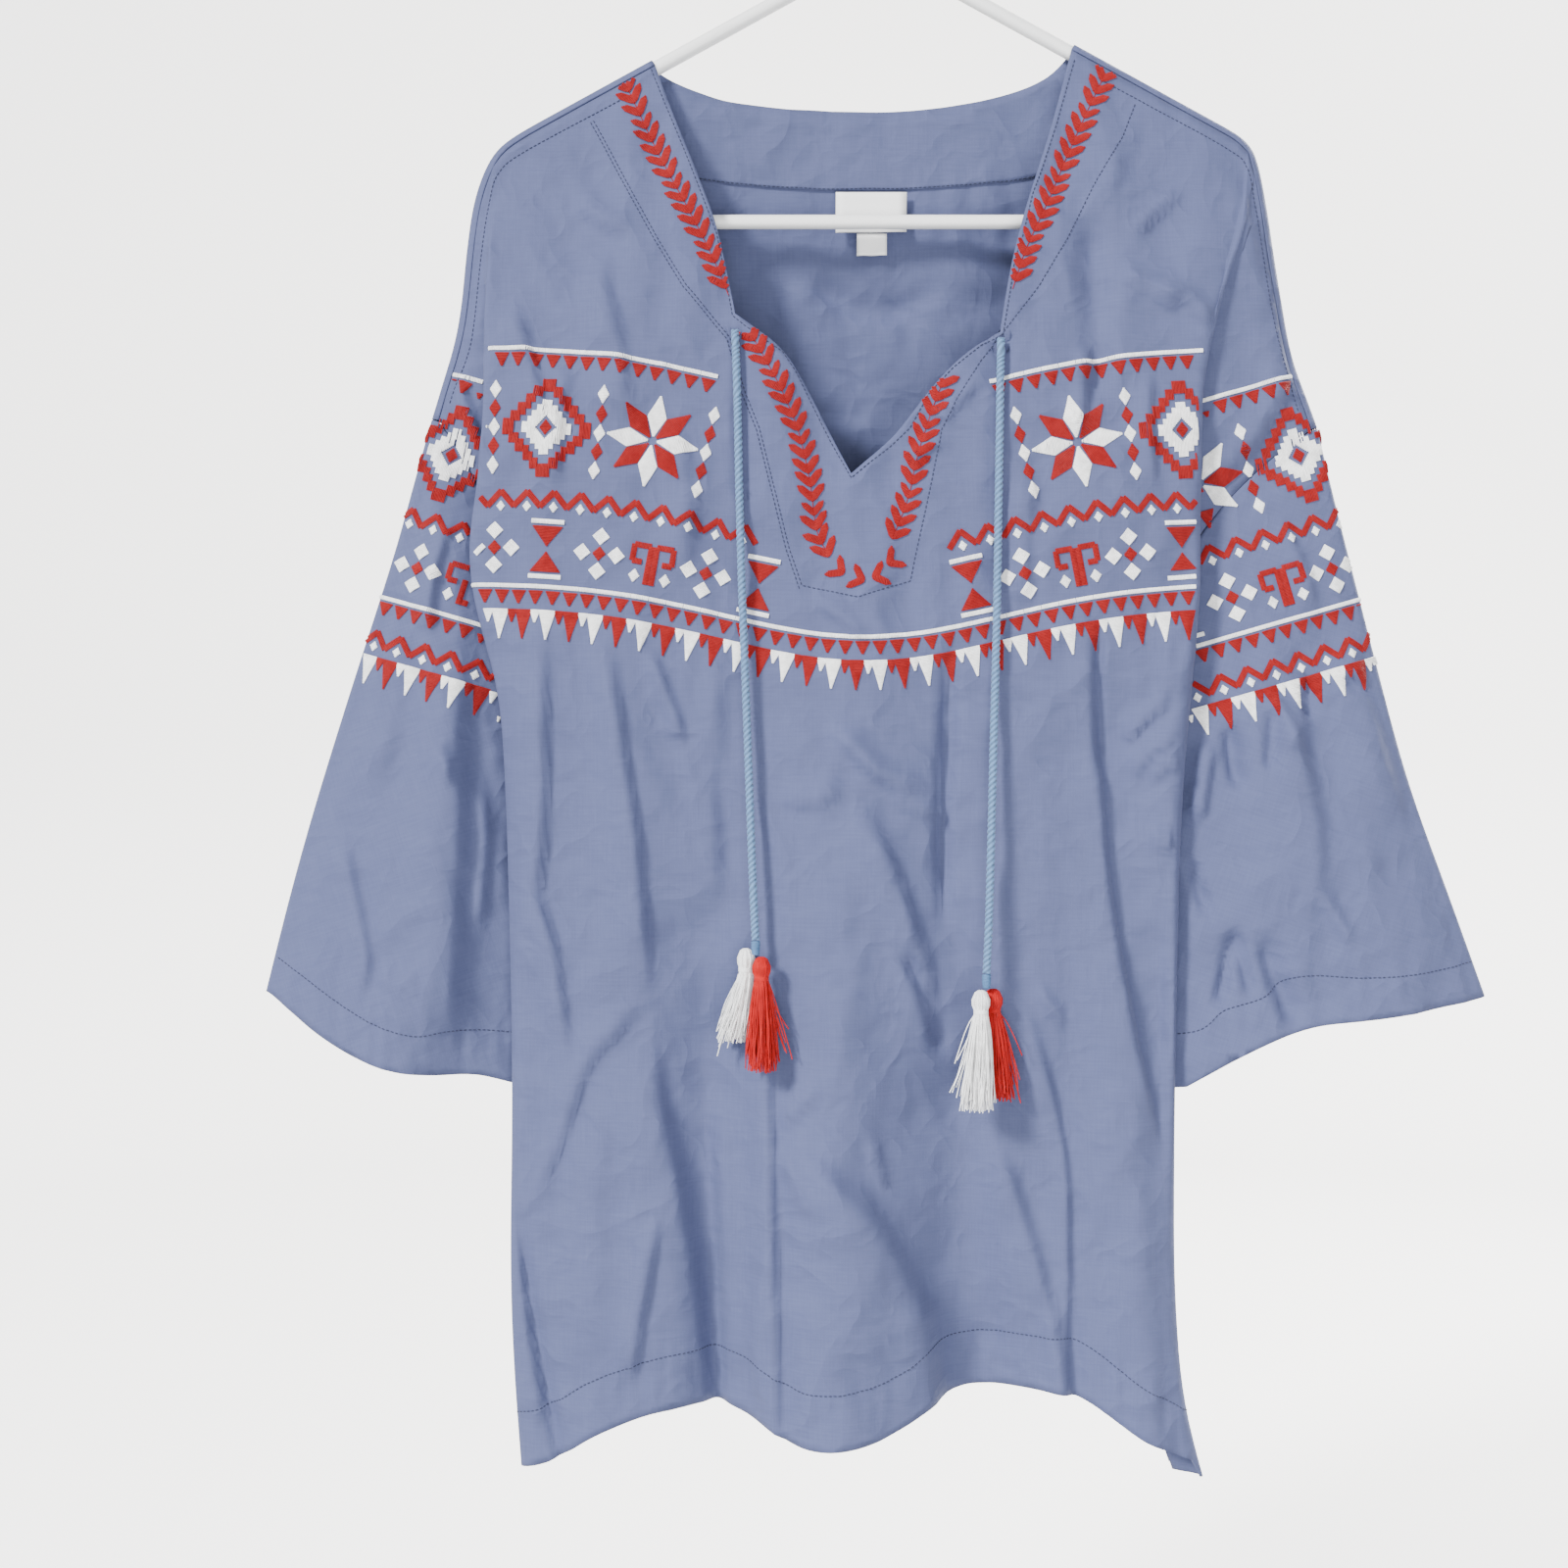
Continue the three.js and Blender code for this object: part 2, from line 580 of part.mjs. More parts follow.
// Points round a sleeve: down its front from the outer fold, and back along its rear.
function sleeveRing(side, down, seams) {
  const outer = curveOf(SLEEVE_OUTER[side]);
  const inner = curveOf(SLEEVE_INNER[side]);
  const [start, end] = [outer.getPointAt(down), inner.getPointAt(down)];
  const along = outer.getTangentAt(down);
  const out = new THREE.Vector3(-along.z, 0, along.x).multiplyScalar(-inward(side));
  const gap = along.clone().multiplyScalar(SLEEVE.gap);
  const radius = lerp(RIDGE_RADIUS, SLEEVE.cuffRadius, down);
  const lens = read(SLEEVE_DEPTH, "down", down, "depth");
  const settle = smoothstep(down, 0, SLEEVE.settle);
  const half = (facing) =>
    Array.from({ length: SLEEVE.columns + 1 }, (_, j) => {
      const across = (j / SLEEVE.columns) * lerp(SLEEVE.innerEnd, 1, settle);
      const cuff = (name) => readSmooth(CUFF[side], "across", across, name);
      const belly = lens * Math.sin(Math.PI * across ** SLEEVE.bellyShift) ** SLEEVE.bellyShape;
      const wave = facing < 0 ? cuff("wave") * down ** SLEEVE.waveGrowth : 0;
      const edge = lerp(radius, SLEEVE.innerRadius, across);
      const depth = edge + belly + wave;
      const p = start.clone().lerp(end, across);
      p.z += ARMHOLE_BOW * (1 - down) ** 2 * Math.sin(Math.PI * across);
      p.z -= cuff("sag") * down ** 2;
      p.y = facing * depth;
      p.lerp(pointOn(seams[facing], across), 1 - settle);
      return p.addScaledVector(gap, 1 + across);
    });
  const fold = [0.75, 0.5, 0.25].map((turn) =>
    start
      .clone()
      .addScaledVector(out, radius * Math.sin(Math.PI * turn))
      .add(new THREE.Vector3(0, -radius * Math.cos(Math.PI * turn), 0))
      .add(gap),
  );
  const ring = [...half(-1), ...half(1).reverse(), ...fold];
  return [...ring, ring[0]];
}

// The point of a row at a share of the way along it.
function pointOn(row, share) {
  const place = share * (row.length - 1);
  const i = Math.min(Math.floor(place), row.length - 2);
  return row[i].clone().lerp(row[i + 1], place - i);
}

function sleeve(side) {
  const seams = {};
  for (const panel of Object.values(PANELS)) {
    const grid = bodyPanel(panel).grids[side === "left" ? 1 : 2];
    const last = grid.at(-1);
    seams[panel.facing] = side === "left" ? last : [...last].reverse();
  }
  const rings = Array.from({ length: SLEEVE.rings + 1 }, (_, i) =>
    sleeveRing(side, i / SLEEVE.rings, seams),
  );
  const turned = side === "left" ? rings : rings.map((ring) => [...ring].reverse());
  return toMesh(`sleeve_${side}`, wallOf([turned], CLOTH), COLOUR.cloth);
}

// ---------- Facings and labels ----------

const liningStep = (CLOTH + FACING) / 2 + LINING_GAP;

// The points of a panel's columns moved inwards, each column cut off at the facing's edge.
function facing(name, panel, edge) {
  const { columns } = bodyPanel(panel);
  const isCovered = ([top]) => top.x >= edge[0].x && top.x <= edge.at(-1).x;
  const lines = columns.filter(isCovered).map((column) => {
    const place = columns.indexOf(column);
    const x = column[0].x;
    const stop = read(edge, "x", x, "z");
    const start = isInNeck(x) ? column[0].z : armZ(x) - FACING_CLEAR_OF_ARM;
    const moved = column.slice(0, ROWS_ABOVE + 1).map((p, i) => {
      const across = columns[place + 1][i].clone().sub(columns[place - 1][i]);
      const down = column[i + 1].clone().sub(column[Math.max(i - 1, 0)]);
      const inner = across.cross(down).normalize().multiplyScalar(-panel.facing * liningStep);
      return p.clone().add(inner);
    });
    return moved.map((p) => atHeight(moved, clamp(p.z, stop, Math.max(start, stop))));
  });
  const rows = lines[0].map((_, i) => lines.map((line) => line[i]));
  const grid = panel.facing < 0 ? rows : rows.map((row) => [...row].reverse());
  return toMesh(name, wallOf([grid], FACING), COLOUR.cloth);
}

// Where a falling line of points has the given height.
function atHeight(line, z) {
  const i = clamp(line.findIndex((p) => p.z <= z), 1, line.length - 1);
  const [a, b] = [line[i - 1], line[i]];
  return a.clone().lerp(b, (z - a.z) / (b.z - a.z));
}

// A flat woven label, lying just inside the back panel.
function label(name, { x, width, height }, topZ) {
  const rows = [topZ, topZ - height].map((z) =>
    [x + width / 2, x - width / 2].map((at) => {
      const depth = panelDepth(BACK_FOLDS, at, z) - liningStep - LABEL_LIFT;
      return new THREE.Vector3(at, depth, z);
    }),
  );
  return toMesh(name, wallOf([rows], FACING), COLOUR.white);
}

// ---------- Ties and tassels ----------

function cord(side) {
  const outline = new THREE.Shape();
  outline.absarc(0, 0, CORD_DIAMETER / 2, 0, 2 * Math.PI);
  const geometry = new THREE.ExtrudeGeometry(outline, {
    steps: CORD_STEPS,
    curveSegments: CORD_SIDES / 2,
    extrudePath: curveOf(CORD_ROUTE[side]),
  });
  return toMesh(`cord_${side}`, geometry, COLOUR.cord);
}

function lathe(profile, sides) {
  return new THREE.LatheGeometry(
    profile.map(([radius, height]) => new THREE.Vector2(radius, height)),
    sides,
  ).rotateX(Math.PI / 2);
}

// Whipping round the cord's end, from which its tassels hang.
function binding(side) {
  const { radius, height } = BINDING;
  const profile = [
    [0, -height], [radius * 0.8, -height], [radius, -height + 1], [radius, -1],
    [radius * 0.8, 0], [0, 0],
  ];
  const end = CORD_ROUTE[side].at(-1);
  const mesh = toMesh(`binding_${side}`, lathe(profile, BINDING.sides), COLOUR.cord);
  mesh.position.set(end.x, end.y, end.z - SEAM_GAP);
  return mesh;
}

// A bundle of threads tied under a round head: the head, its neck and loose strands.
function tassel(name, color, at, lean) {
  const { headRadius, headHeight, neckRadius, skirt, uneven, strand, rings } = TASSEL;
  const { topRadius, crown, waist, rim, root } = TASSEL;
  const profile = [
    [0, -headHeight - root], [headRadius, -headHeight - root], [headRadius, -headHeight + rim],
    [neckRadius, -headHeight + waist], [headRadius, -headHeight / 2],
    [headRadius * 0.75, -crown], [topRadius, 0], [0, 0],
  ];
  const strands = [];
  for (const { radius, count, spread } of rings) {
    for (let k = 0; k < count; k++) {
      const angle = (2 * Math.PI * (k + radius / 9)) / count;
      const direction = new THREE.Vector2(Math.cos(angle), Math.sin(angle));
      const length = skirt - uneven * Math.abs(Math.sin(3 * k + radius));
      strands.push(strandSolid(direction, radius, spread, length, strand, lean));
    }
  }
  const geometry = joined([lathe(profile, TASSEL.sides), ...strands]);
  const mesh = toMesh(name, geometry, color);
  mesh.position.copy(at);
  return mesh;
}

// One three-sided lock, rooted in the head and swung out towards its end.
function strandSolid(direction, radius, spread, length, width, lean) {
  const top = -TASSEL.headHeight;
  const middle = direction.clone().multiplyScalar(radius);
  const end = direction.clone().multiplyScalar(radius * spread).add(lean);
  const vertices = [];
  for (const [point, z, reach] of [[middle, top, width / 2], [end, top - length, width * 0.45]]) {
    for (let k = 0; k < 3; k++) {
      const angle = (2 * Math.PI * k) / 3;
      vertices.push(point.x + reach * Math.cos(angle), point.y + reach * Math.sin(angle), z);
    }
  }
  const triangles = [0, 1, 2, 3, 5, 4];
  for (let k = 0; k < 3; k++) {
    const next = (k + 1) % 3;
    triangles.push(k, k + 3, next + 3, k, next + 3, next);
  }
  return geometryOf(vertices, triangles);
}

function tassels(side) {
  const end = CORD_ROUTE[side].at(-1);
  const top = end.z - BINDING.height - 2 * SEAM_GAP;
  return ["red", "white"].map((name) => {
    const { x, y, lean } = TASSEL_PLACES[side][name];
    const at = new THREE.Vector3(end.x + x, end.y + y, top);
    return tassel(`tassel_${side}_${name}`, COLOUR[name], at, new THREE.Vector2(...lean));
  });
}

// ---------- The hanger ----------

// Middle line of the closed frame: the arms, a bend at each end and the bar.
function framePath() {
  const { slope, barZ, endRadius, apexRadius, apexZ } = HANGER;
  const path = [];
  const arc = (x, z, radius, from, to, steps) => {
    for (let i = 0; i <= steps; i++) {
      const angle = lerp(from, to, i / steps);
      path.push(new THREE.Vector2(x + radius * Math.cos(angle), z + radius * Math.sin(angle)));
    }
  };
  const up = Math.PI / 2;
  arc(0, apexZ - apexRadius / Math.cos(slope), apexRadius, up - slope, up + slope, 4);
  arc(-bendCentreX(), barZ + endRadius, endRadius, up + slope, 3 * up, 9);
  arc(bendCentreX(), barZ + endRadius, endRadius, -up, up - slope, 9);
  return path;
}

function hookPath() {
  const { apexZ, hookRadius, hookEnd, tube } = HANGER;
  const centreZ = tube / 2 - hookRadius;
  const neckTop = centreZ - hookRadius * 0.9;
  const path = [new THREE.Vector2(0, apexZ - tube), new THREE.Vector2(0, apexZ + 2)];
  path.push(new THREE.Vector2(1, lerp(apexZ + 2, neckTop, 0.6)));
  const start = degToRad(-52);
  for (let i = 0; i <= 16; i++) {
    const angle = lerp(start, hookEnd, i / 16);
    path.push(
      new THREE.Vector2(hookRadius * Math.cos(angle), centreZ + hookRadius * Math.sin(angle)),
    );
  }
  return path;
}

function hanger() {
  const radius = HANGER.tube / 2;
  const geometry = joined([
    flatTube(framePath(), radius, HANGER.sides, true),
    flatTube(hookPath(), radius, HANGER.sides, false),
  ]);
  return toMesh("hanger", geometry, COLOUR.white, 0.35);
}

// ---------- The whole ----------

const tunic = new THREE.Group();
tunic.add(front(), back(), sleeve("left"), sleeve("right"));
tunic.add(facing("facing_front", PANELS.front, FACING_EDGE));
tunic.add(facing("facing_back", PANELS.back, BACK_FACING_EDGE));
tunic.add(label("label", LABEL, LABEL.topZ));
tunic.add(label("size_tab", SIZE_TAB, LABEL.topZ - LABEL.height - SEAM_GAP));
for (const side of ["left", "right"]) {
  tunic.add(cord(side), binding(side), ...tassels(side));
}
tunic.add(hanger());

export default tunic;
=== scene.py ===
import json
import math

import bmesh
import bpy
import numpy as np
from bpy.props import FloatProperty, FloatVectorProperty, IntProperty, PointerProperty
from bpy.types import Operator, Panel, PropertyGroup
from mathutils import Vector, noise
from mathutils.bvhtree import BVHTree
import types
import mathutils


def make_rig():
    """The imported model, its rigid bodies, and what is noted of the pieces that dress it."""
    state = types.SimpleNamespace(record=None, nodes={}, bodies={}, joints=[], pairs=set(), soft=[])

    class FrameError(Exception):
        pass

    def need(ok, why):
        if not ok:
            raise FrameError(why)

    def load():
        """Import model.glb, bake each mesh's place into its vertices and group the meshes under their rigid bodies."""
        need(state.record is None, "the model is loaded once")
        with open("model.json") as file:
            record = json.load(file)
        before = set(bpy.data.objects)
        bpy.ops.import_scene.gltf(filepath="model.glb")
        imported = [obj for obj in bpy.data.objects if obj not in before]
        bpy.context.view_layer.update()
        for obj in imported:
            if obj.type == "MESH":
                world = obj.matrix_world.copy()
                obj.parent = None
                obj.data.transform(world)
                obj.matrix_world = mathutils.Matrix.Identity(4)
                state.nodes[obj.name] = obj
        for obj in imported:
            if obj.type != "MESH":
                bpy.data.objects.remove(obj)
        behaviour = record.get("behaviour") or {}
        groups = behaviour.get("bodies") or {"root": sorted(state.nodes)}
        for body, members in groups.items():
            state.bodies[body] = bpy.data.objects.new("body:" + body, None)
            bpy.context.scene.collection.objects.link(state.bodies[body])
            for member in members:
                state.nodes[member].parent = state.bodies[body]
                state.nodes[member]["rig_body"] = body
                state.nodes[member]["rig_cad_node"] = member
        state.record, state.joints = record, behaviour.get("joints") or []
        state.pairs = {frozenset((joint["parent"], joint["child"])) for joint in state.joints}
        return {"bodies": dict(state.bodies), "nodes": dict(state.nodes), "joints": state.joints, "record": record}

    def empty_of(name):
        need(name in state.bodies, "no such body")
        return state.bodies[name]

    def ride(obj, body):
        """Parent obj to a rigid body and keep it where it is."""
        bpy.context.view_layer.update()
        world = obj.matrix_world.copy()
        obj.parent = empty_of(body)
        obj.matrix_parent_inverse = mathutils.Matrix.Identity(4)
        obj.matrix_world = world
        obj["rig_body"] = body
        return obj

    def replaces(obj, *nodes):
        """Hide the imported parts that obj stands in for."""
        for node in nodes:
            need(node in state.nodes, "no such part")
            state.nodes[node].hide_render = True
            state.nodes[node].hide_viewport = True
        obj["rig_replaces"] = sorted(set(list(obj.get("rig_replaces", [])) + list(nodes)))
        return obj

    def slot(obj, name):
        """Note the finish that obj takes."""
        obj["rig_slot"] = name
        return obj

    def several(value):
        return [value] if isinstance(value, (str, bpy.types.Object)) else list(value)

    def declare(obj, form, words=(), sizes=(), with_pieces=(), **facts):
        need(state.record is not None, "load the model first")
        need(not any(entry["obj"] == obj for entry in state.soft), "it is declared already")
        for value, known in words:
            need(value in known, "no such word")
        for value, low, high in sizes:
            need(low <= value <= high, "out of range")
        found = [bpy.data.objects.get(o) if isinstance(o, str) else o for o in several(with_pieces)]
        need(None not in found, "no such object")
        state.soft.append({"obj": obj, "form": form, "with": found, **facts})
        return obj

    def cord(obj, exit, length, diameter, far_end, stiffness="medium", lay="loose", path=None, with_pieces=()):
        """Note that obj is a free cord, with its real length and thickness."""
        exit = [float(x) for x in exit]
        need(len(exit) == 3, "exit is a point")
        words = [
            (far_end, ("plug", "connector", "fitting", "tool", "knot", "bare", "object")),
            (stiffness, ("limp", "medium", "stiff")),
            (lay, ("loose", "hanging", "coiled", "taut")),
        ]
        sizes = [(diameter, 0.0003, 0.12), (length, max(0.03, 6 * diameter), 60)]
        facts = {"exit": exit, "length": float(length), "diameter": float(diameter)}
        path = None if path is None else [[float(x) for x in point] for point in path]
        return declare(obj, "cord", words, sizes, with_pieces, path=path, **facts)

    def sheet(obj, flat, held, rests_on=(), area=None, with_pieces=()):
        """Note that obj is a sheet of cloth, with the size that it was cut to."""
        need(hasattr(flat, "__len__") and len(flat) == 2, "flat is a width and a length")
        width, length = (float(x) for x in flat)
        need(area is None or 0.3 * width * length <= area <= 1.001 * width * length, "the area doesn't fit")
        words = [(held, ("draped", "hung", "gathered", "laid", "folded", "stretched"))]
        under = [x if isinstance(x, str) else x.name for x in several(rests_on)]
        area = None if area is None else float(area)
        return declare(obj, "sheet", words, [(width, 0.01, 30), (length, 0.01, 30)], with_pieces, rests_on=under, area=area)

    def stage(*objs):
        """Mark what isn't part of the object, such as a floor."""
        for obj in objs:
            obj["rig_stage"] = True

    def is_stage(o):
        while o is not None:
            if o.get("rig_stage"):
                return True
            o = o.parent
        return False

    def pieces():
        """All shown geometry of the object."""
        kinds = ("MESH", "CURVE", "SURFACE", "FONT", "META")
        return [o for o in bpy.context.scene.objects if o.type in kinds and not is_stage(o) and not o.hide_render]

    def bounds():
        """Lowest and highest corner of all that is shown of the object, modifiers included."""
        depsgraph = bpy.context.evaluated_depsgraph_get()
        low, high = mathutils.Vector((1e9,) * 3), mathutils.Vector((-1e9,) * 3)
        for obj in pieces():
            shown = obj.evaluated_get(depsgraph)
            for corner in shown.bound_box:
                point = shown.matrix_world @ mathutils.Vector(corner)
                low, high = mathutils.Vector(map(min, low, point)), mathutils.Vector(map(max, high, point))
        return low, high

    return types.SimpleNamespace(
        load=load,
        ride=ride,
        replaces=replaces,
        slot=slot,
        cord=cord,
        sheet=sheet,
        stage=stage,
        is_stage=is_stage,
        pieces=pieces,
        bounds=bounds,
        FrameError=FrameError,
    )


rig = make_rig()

bl_info = {
    "name": "Embroidered tunic",
    "version": (1, 0, 0),
    "blender": (4, 5, 0),
    "location": "3D View > Sidebar > Tunic",
    "description": "A wide cotton tunic with embroidery and tasselled ties, on its hanger",
    "category": "Object",
}

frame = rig.load()
CAD_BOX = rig.bounds()
NODES = frame["nodes"]
MM = 0.001
FRONT, BACK = -1, 1
SEED = 7
# The camera's place, and the tangent of half its angle of view.
CAMERA_PLACE = (-0.0522, -1.150, -0.5308)
HALF_VIEW = 0.3819
# The hanger, in millimetres: the top of its frame and the slope of its arms.
FRAME_TOP = -62
ARM_SLOPE = math.radians(28.8)
# How far above a hem's edge its stitches run, and how high a machine stitch lies on the cloth.
HEM_DEPTH = 30
STITCH_LIFT = 0.1


# ---------- Sizes and colours that a user would change ----------

def colour(name, description, default):
    return FloatVectorProperty(
        name=name, description=description, default=default, subtype="COLOR", size=3, min=0, max=1
    )


def length(name, description, default):
    return FloatProperty(
        name=name, description=description, default=default, unit="LENGTH", subtype="DISTANCE", min=0
    )


def number(name, description, default):
    return FloatProperty(name=name, description=description, default=default, min=0)


def count_of(name, description, default, low, high):
    return IntProperty(name=name, description=description, default=default, min=low, max=high)


class ClothSettings(PropertyGroup):
    """The cotton of the panels, sleeves and facings."""

    warp: colour("Warp", "Colour of the threads that run down", (0.057, 0.069, 0.152))
    weft: colour("Weft", "Colour of the threads that run across", (0.078, 0.092, 0.188))
    thread: length("Thread pitch", "Distance between two threads of the weave", 0.00052)
    sheen: number("Sheen", "Soft light along the folds", 0.03)
    creasing: number("Creasing", "Strength of the sharp small creases", 1.2)
    crumple: length("Crumple", "Height of the small crumples between the folds", 0.0031)


class ThreadSettings(PropertyGroup):
    """Embroidery and sewing threads."""

    red: colour("Red", "Colour of the red satin stitch", (0.26, 0.0, 0.0))
    white: colour("White", "Colour of the white satin stitch", (0.93, 0.93, 0.92))
    # Darker than the cloth: partly the thread's own colour, partly painted shade of the groove that a stitched line
    # sinks into.
    sewing: colour("Sewing thread", "Colour of the seams' stitches", (0.022, 0.027, 0.062))
    pitch: length("Satin pitch", "Distance between two strands of satin stitch", 0.00078)
    strand: length("Satin strand", "Thickness of one strand of satin stitch", 0.00095)
    stitch: length("Stitch length", "Length of one machine stitch with its gap", 0.0026)


class TieSettings(PropertyGroup):
    """The ties and their tassels."""

    cord: colour("Cord", "Colour of the twisted cord", (0.080, 0.172, 0.330))
    diameter: length("Cord thickness", "Diameter over the cord's plies", 0.0045)
    turn: length("Cord turn", "Length in which a ply goes once round", 0.0095)
    plies: count_of("Plies", "Strands twisted into the cord", 3, 2, 5)
    threads: count_of("Tassel threads", "Threads in one tassel", 190, 20, 250)
    loose: length("Tassel thread", "Thickness of a tassel's thread", 0.00062)


class HangerSettings(PropertyGroup):
    """The plastic hanger and the woven label."""

    plastic: colour("Plastic", "Colour of the hanger and the label", (0.95, 0.95, 0.94))
    tube: length("Tube", "Diameter of the hanger's tube", 0.008)


class StageSettings(PropertyGroup):
    """Floor, wall and light."""

    floor: colour("Floor", "Colour of the floor and wall", (0.90, 0.885, 0.865))
    radius: length("Floor radius", "From the middle to where the floor turns up", 2.3)
    glow: number("Glow", "Light that the wall itself gives", 2.2)
    light: number("Light", "Strength of all the lamps", 2.1)


# ---------- Shader maths ----------

class Socket:
    """A node's output, so that shader maths reads as an expression."""

    def __init__(self, tree, socket):
        self.tree = tree
        self.socket = socket

    def maths(self, operation, *others, flip=False):
        values = (*others, self) if flip else (self, *others)
        return self.tree.node("ShaderNodeMath", {"operation": operation}, dict(enumerate(values)))

    def __add__(self, other):
        return self.maths("ADD", other)

    def __radd__(self, other):
        return self.maths("ADD", other, flip=True)

    def __sub__(self, other):
        return self.maths("SUBTRACT", other)

    def __rsub__(self, other):
        return self.maths("SUBTRACT", other, flip=True)

    def __mul__(self, other):
        return self.maths("MULTIPLY", other)

    def __rmul__(self, other):
        return self.maths("MULTIPLY", other, flip=True)

    def absolute(self):
        return self.maths("ABSOLUTE")

    def sin(self):
        return self.maths("SINE")

    def clamped(self):
        return self.tree.node("ShaderNodeClamp", {}, {"Value": self}, "Result")


class Finish:
    """A material under construction, with one method that adds any node."""

    def __init__(self, name):
        self.material = bpy.data.materials.new(name)
        self.material.use_nodes = True
        self.nodes = self.material.node_tree.nodes
        self.links = self.material.node_tree.links
        self.shader = self.nodes["Principled BSDF"]

    def node(self, kind, settings=None, sockets=None, output=0):
        made = self.nodes.new(kind)
        for key, value in (settings or {}).items():
            setattr(made, key, value)
        for key, value in (sockets or {}).items():
            self.put(made.inputs[key], value)
        return Socket(self, made.outputs[output])

    def put(self, socket, value):
        if isinstance(value, Socket):
            self.links.new(value.socket, socket)
        elif socket.type == "RGBA" and len(value) == 3:
            socket.default_value = (*value, 1)
        else:
            socket.default_value = value

    def place(self):
        """The point's place on the piece."""
        return self.node("ShaderNodeTexCoord", {}, {}, "Object")

    def parts(self, name):
        """The piece's own map, and its two parts: across and along."""
        whole = self.node("ShaderNodeUVMap", {"uv_map": name})
        across = self.node("ShaderNodeSeparateXYZ", {}, {0: whole})
        return whole, across, Socket(self, across.socket.node.outputs[1])

    def mix(self, share, a, b):
        settings = {"data_type": "RGBA", "blend_type": "MIX", "clamp_factor": True}
        return self.node("ShaderNodeMix", settings, {0: share, 6: a, 7: b}, 2)

    def noise(self, vector, scale, detail=3.0, stretch=(1, 1, 1)):
        placed = self.node("ShaderNodeMapping", {}, {"Vector": vector, "Scale": stretch})
        sockets = {"Vector": placed, "Scale": scale, "Detail": detail}
        return self.node("ShaderNodeTexNoise", {}, sockets, "Fac")

    def bump(self, height, strength, distance, under=None):
        sockets = {"Height": height, "Strength": strength, "Distance": distance}
        if under is not None:
            sockets["Normal"] = under
        return self.node("ShaderNodeBump", {}, sockets, "Normal")

    def ridges(self, vector, scale):
        """Sharp, wandering crests, as in cloth that has been folded and pressed."""
        sockets = {"Vector": vector, "Scale": scale, "Detail": 1.5, "Distortion": 0.35}
        wave = self.node("ShaderNodeTexNoise", {}, sockets, "Fac")
        return 1 - ((wave - 0.5) * 2.6).absolute()

    def done(self, **sockets):
        for name, value in sockets.items():
            self.put(self.shader.inputs[name.replace("_", " ")], value)
        return self.material


def toned(tint, share, lift=0.0):
    """A colour made darker or lighter by a share, and lifted evenly."""
    return [min(1, c * share + lift) for c in tint]


def cloth_finish(settings):
    """Plain weave: two sets of slubby threads, lighter and darker, with fine bumps."""
    finish = Finish("cotton")
    grain, across, along = finish.parts("grain")
    turn = 2 * math.pi / settings.thread
    over = (across * turn).sin() * 0.5 + 0.5
    under = (along * turn).sin() * 0.5 + 0.5
    weft_slub = finish.noise(grain, 1.0, 4.0, (60, 900, 1))
    warp_slub = finish.noise(grain, 1.0, 4.0, (1100, 45, 1))
    cloudy = finish.noise(grain, 9.0, 3.0)
    slub = weft_slub * 0.55 + warp_slub * 0.45
    share = ((over - under) * 0.25 + (slub - 0.5) * 2.4 + 0.5).clamped()
    base = finish.mix(share, settings.warp, settings.weft)
    shade = ((cloudy - 0.5) * 0.5 + 0.5).clamped()
    cloth = finish.mix(shade * 0.28, base, toned(settings.weft, 1.16))
    height = (over * under) * 0.4 + slub * 0.9
    crumples = finish.ridges(grain, 17.0) + finish.ridges(grain, 46.0) * 0.34
    rough = (slub * 0.16 + 0.70).clamped()
    shader = finish.shader.inputs
    shader["Sheen Weight"].default_value = settings.sheen
    shader["Sheen Roughness"].default_value = 0.45
    shader["Specular IOR Level"].default_value = 0.28
    normal = finish.bump(height, 0.42, 0.00035, finish.bump(crumples, settings.creasing, 0.0030))
    return finish.done(Base_Color=cloth, Roughness=rough, Normal=normal)


def thread_finish(name, tint, sheen=0.05):
    """Smooth twisted thread: fine streaks, small changes of tone, a soft shine."""
    finish = Finish(name)
    place = finish.place()
    tone = finish.noise(place, 240.0, 2.0)
    fine = finish.noise(place, 1500.0, 2.0)
    share = ((tone - 0.5) * 1.3 + (fine - 0.5) * 0.9 + 0.55).clamped()
    shader = finish.shader.inputs
    shader["Sheen Weight"].default_value = sheen
    shader["Specular IOR Level"].default_value = 0.14
    normal = finish.bump(fine, 0.35, 0.0003)
    shade = finish.mix(share, toned(tint, 0.72), toned(tint, 1.10, 0.01))
    return finish.done(Base_Color=shade, Roughness=fine * 0.2 + 0.55, Normal=normal)


def cord_finish(settings):
    """Twisted cord: the plies' own fine yarns, from the tube's own map, with painted shade in the grooves between the
    plies and a painted highlight on their crests.
    """
    finish = Finish("twisted_cord")
    lay, round_ply, along = finish.parts("lay")
    yarn = (round_ply * (2 * math.pi * 24) + along * 9000).sin() * 0.5 + 0.5
    # Painted shade and highlight: the colour is darker in the grooves between the plies and lighter on their crests,
    # where the tube's lobes already stand out.
    crown = (round_ply * (2 * math.pi * settings.plies) + math.pi / 2).sin() * 0.5 + 0.5
    fuzz = finish.noise(lay, 40.0, 3.0, (8, 30, 1))
    share = (crown * 0.6 + yarn * 0.2 + (fuzz - 0.5) * 0.7 + 0.12).clamped()
    finish.shader.inputs["Sheen Weight"].default_value = 0.2
    normal = finish.bump(yarn * 0.7 + fuzz * 0.5, 0.5, 0.0003)
    shade = finish.mix(share, toned(settings.cord, 0.32), toned(settings.cord, 1.5))
    return finish.done(Base_Color=shade, Roughness=fuzz * 0.2 + 0.55, Normal=normal)


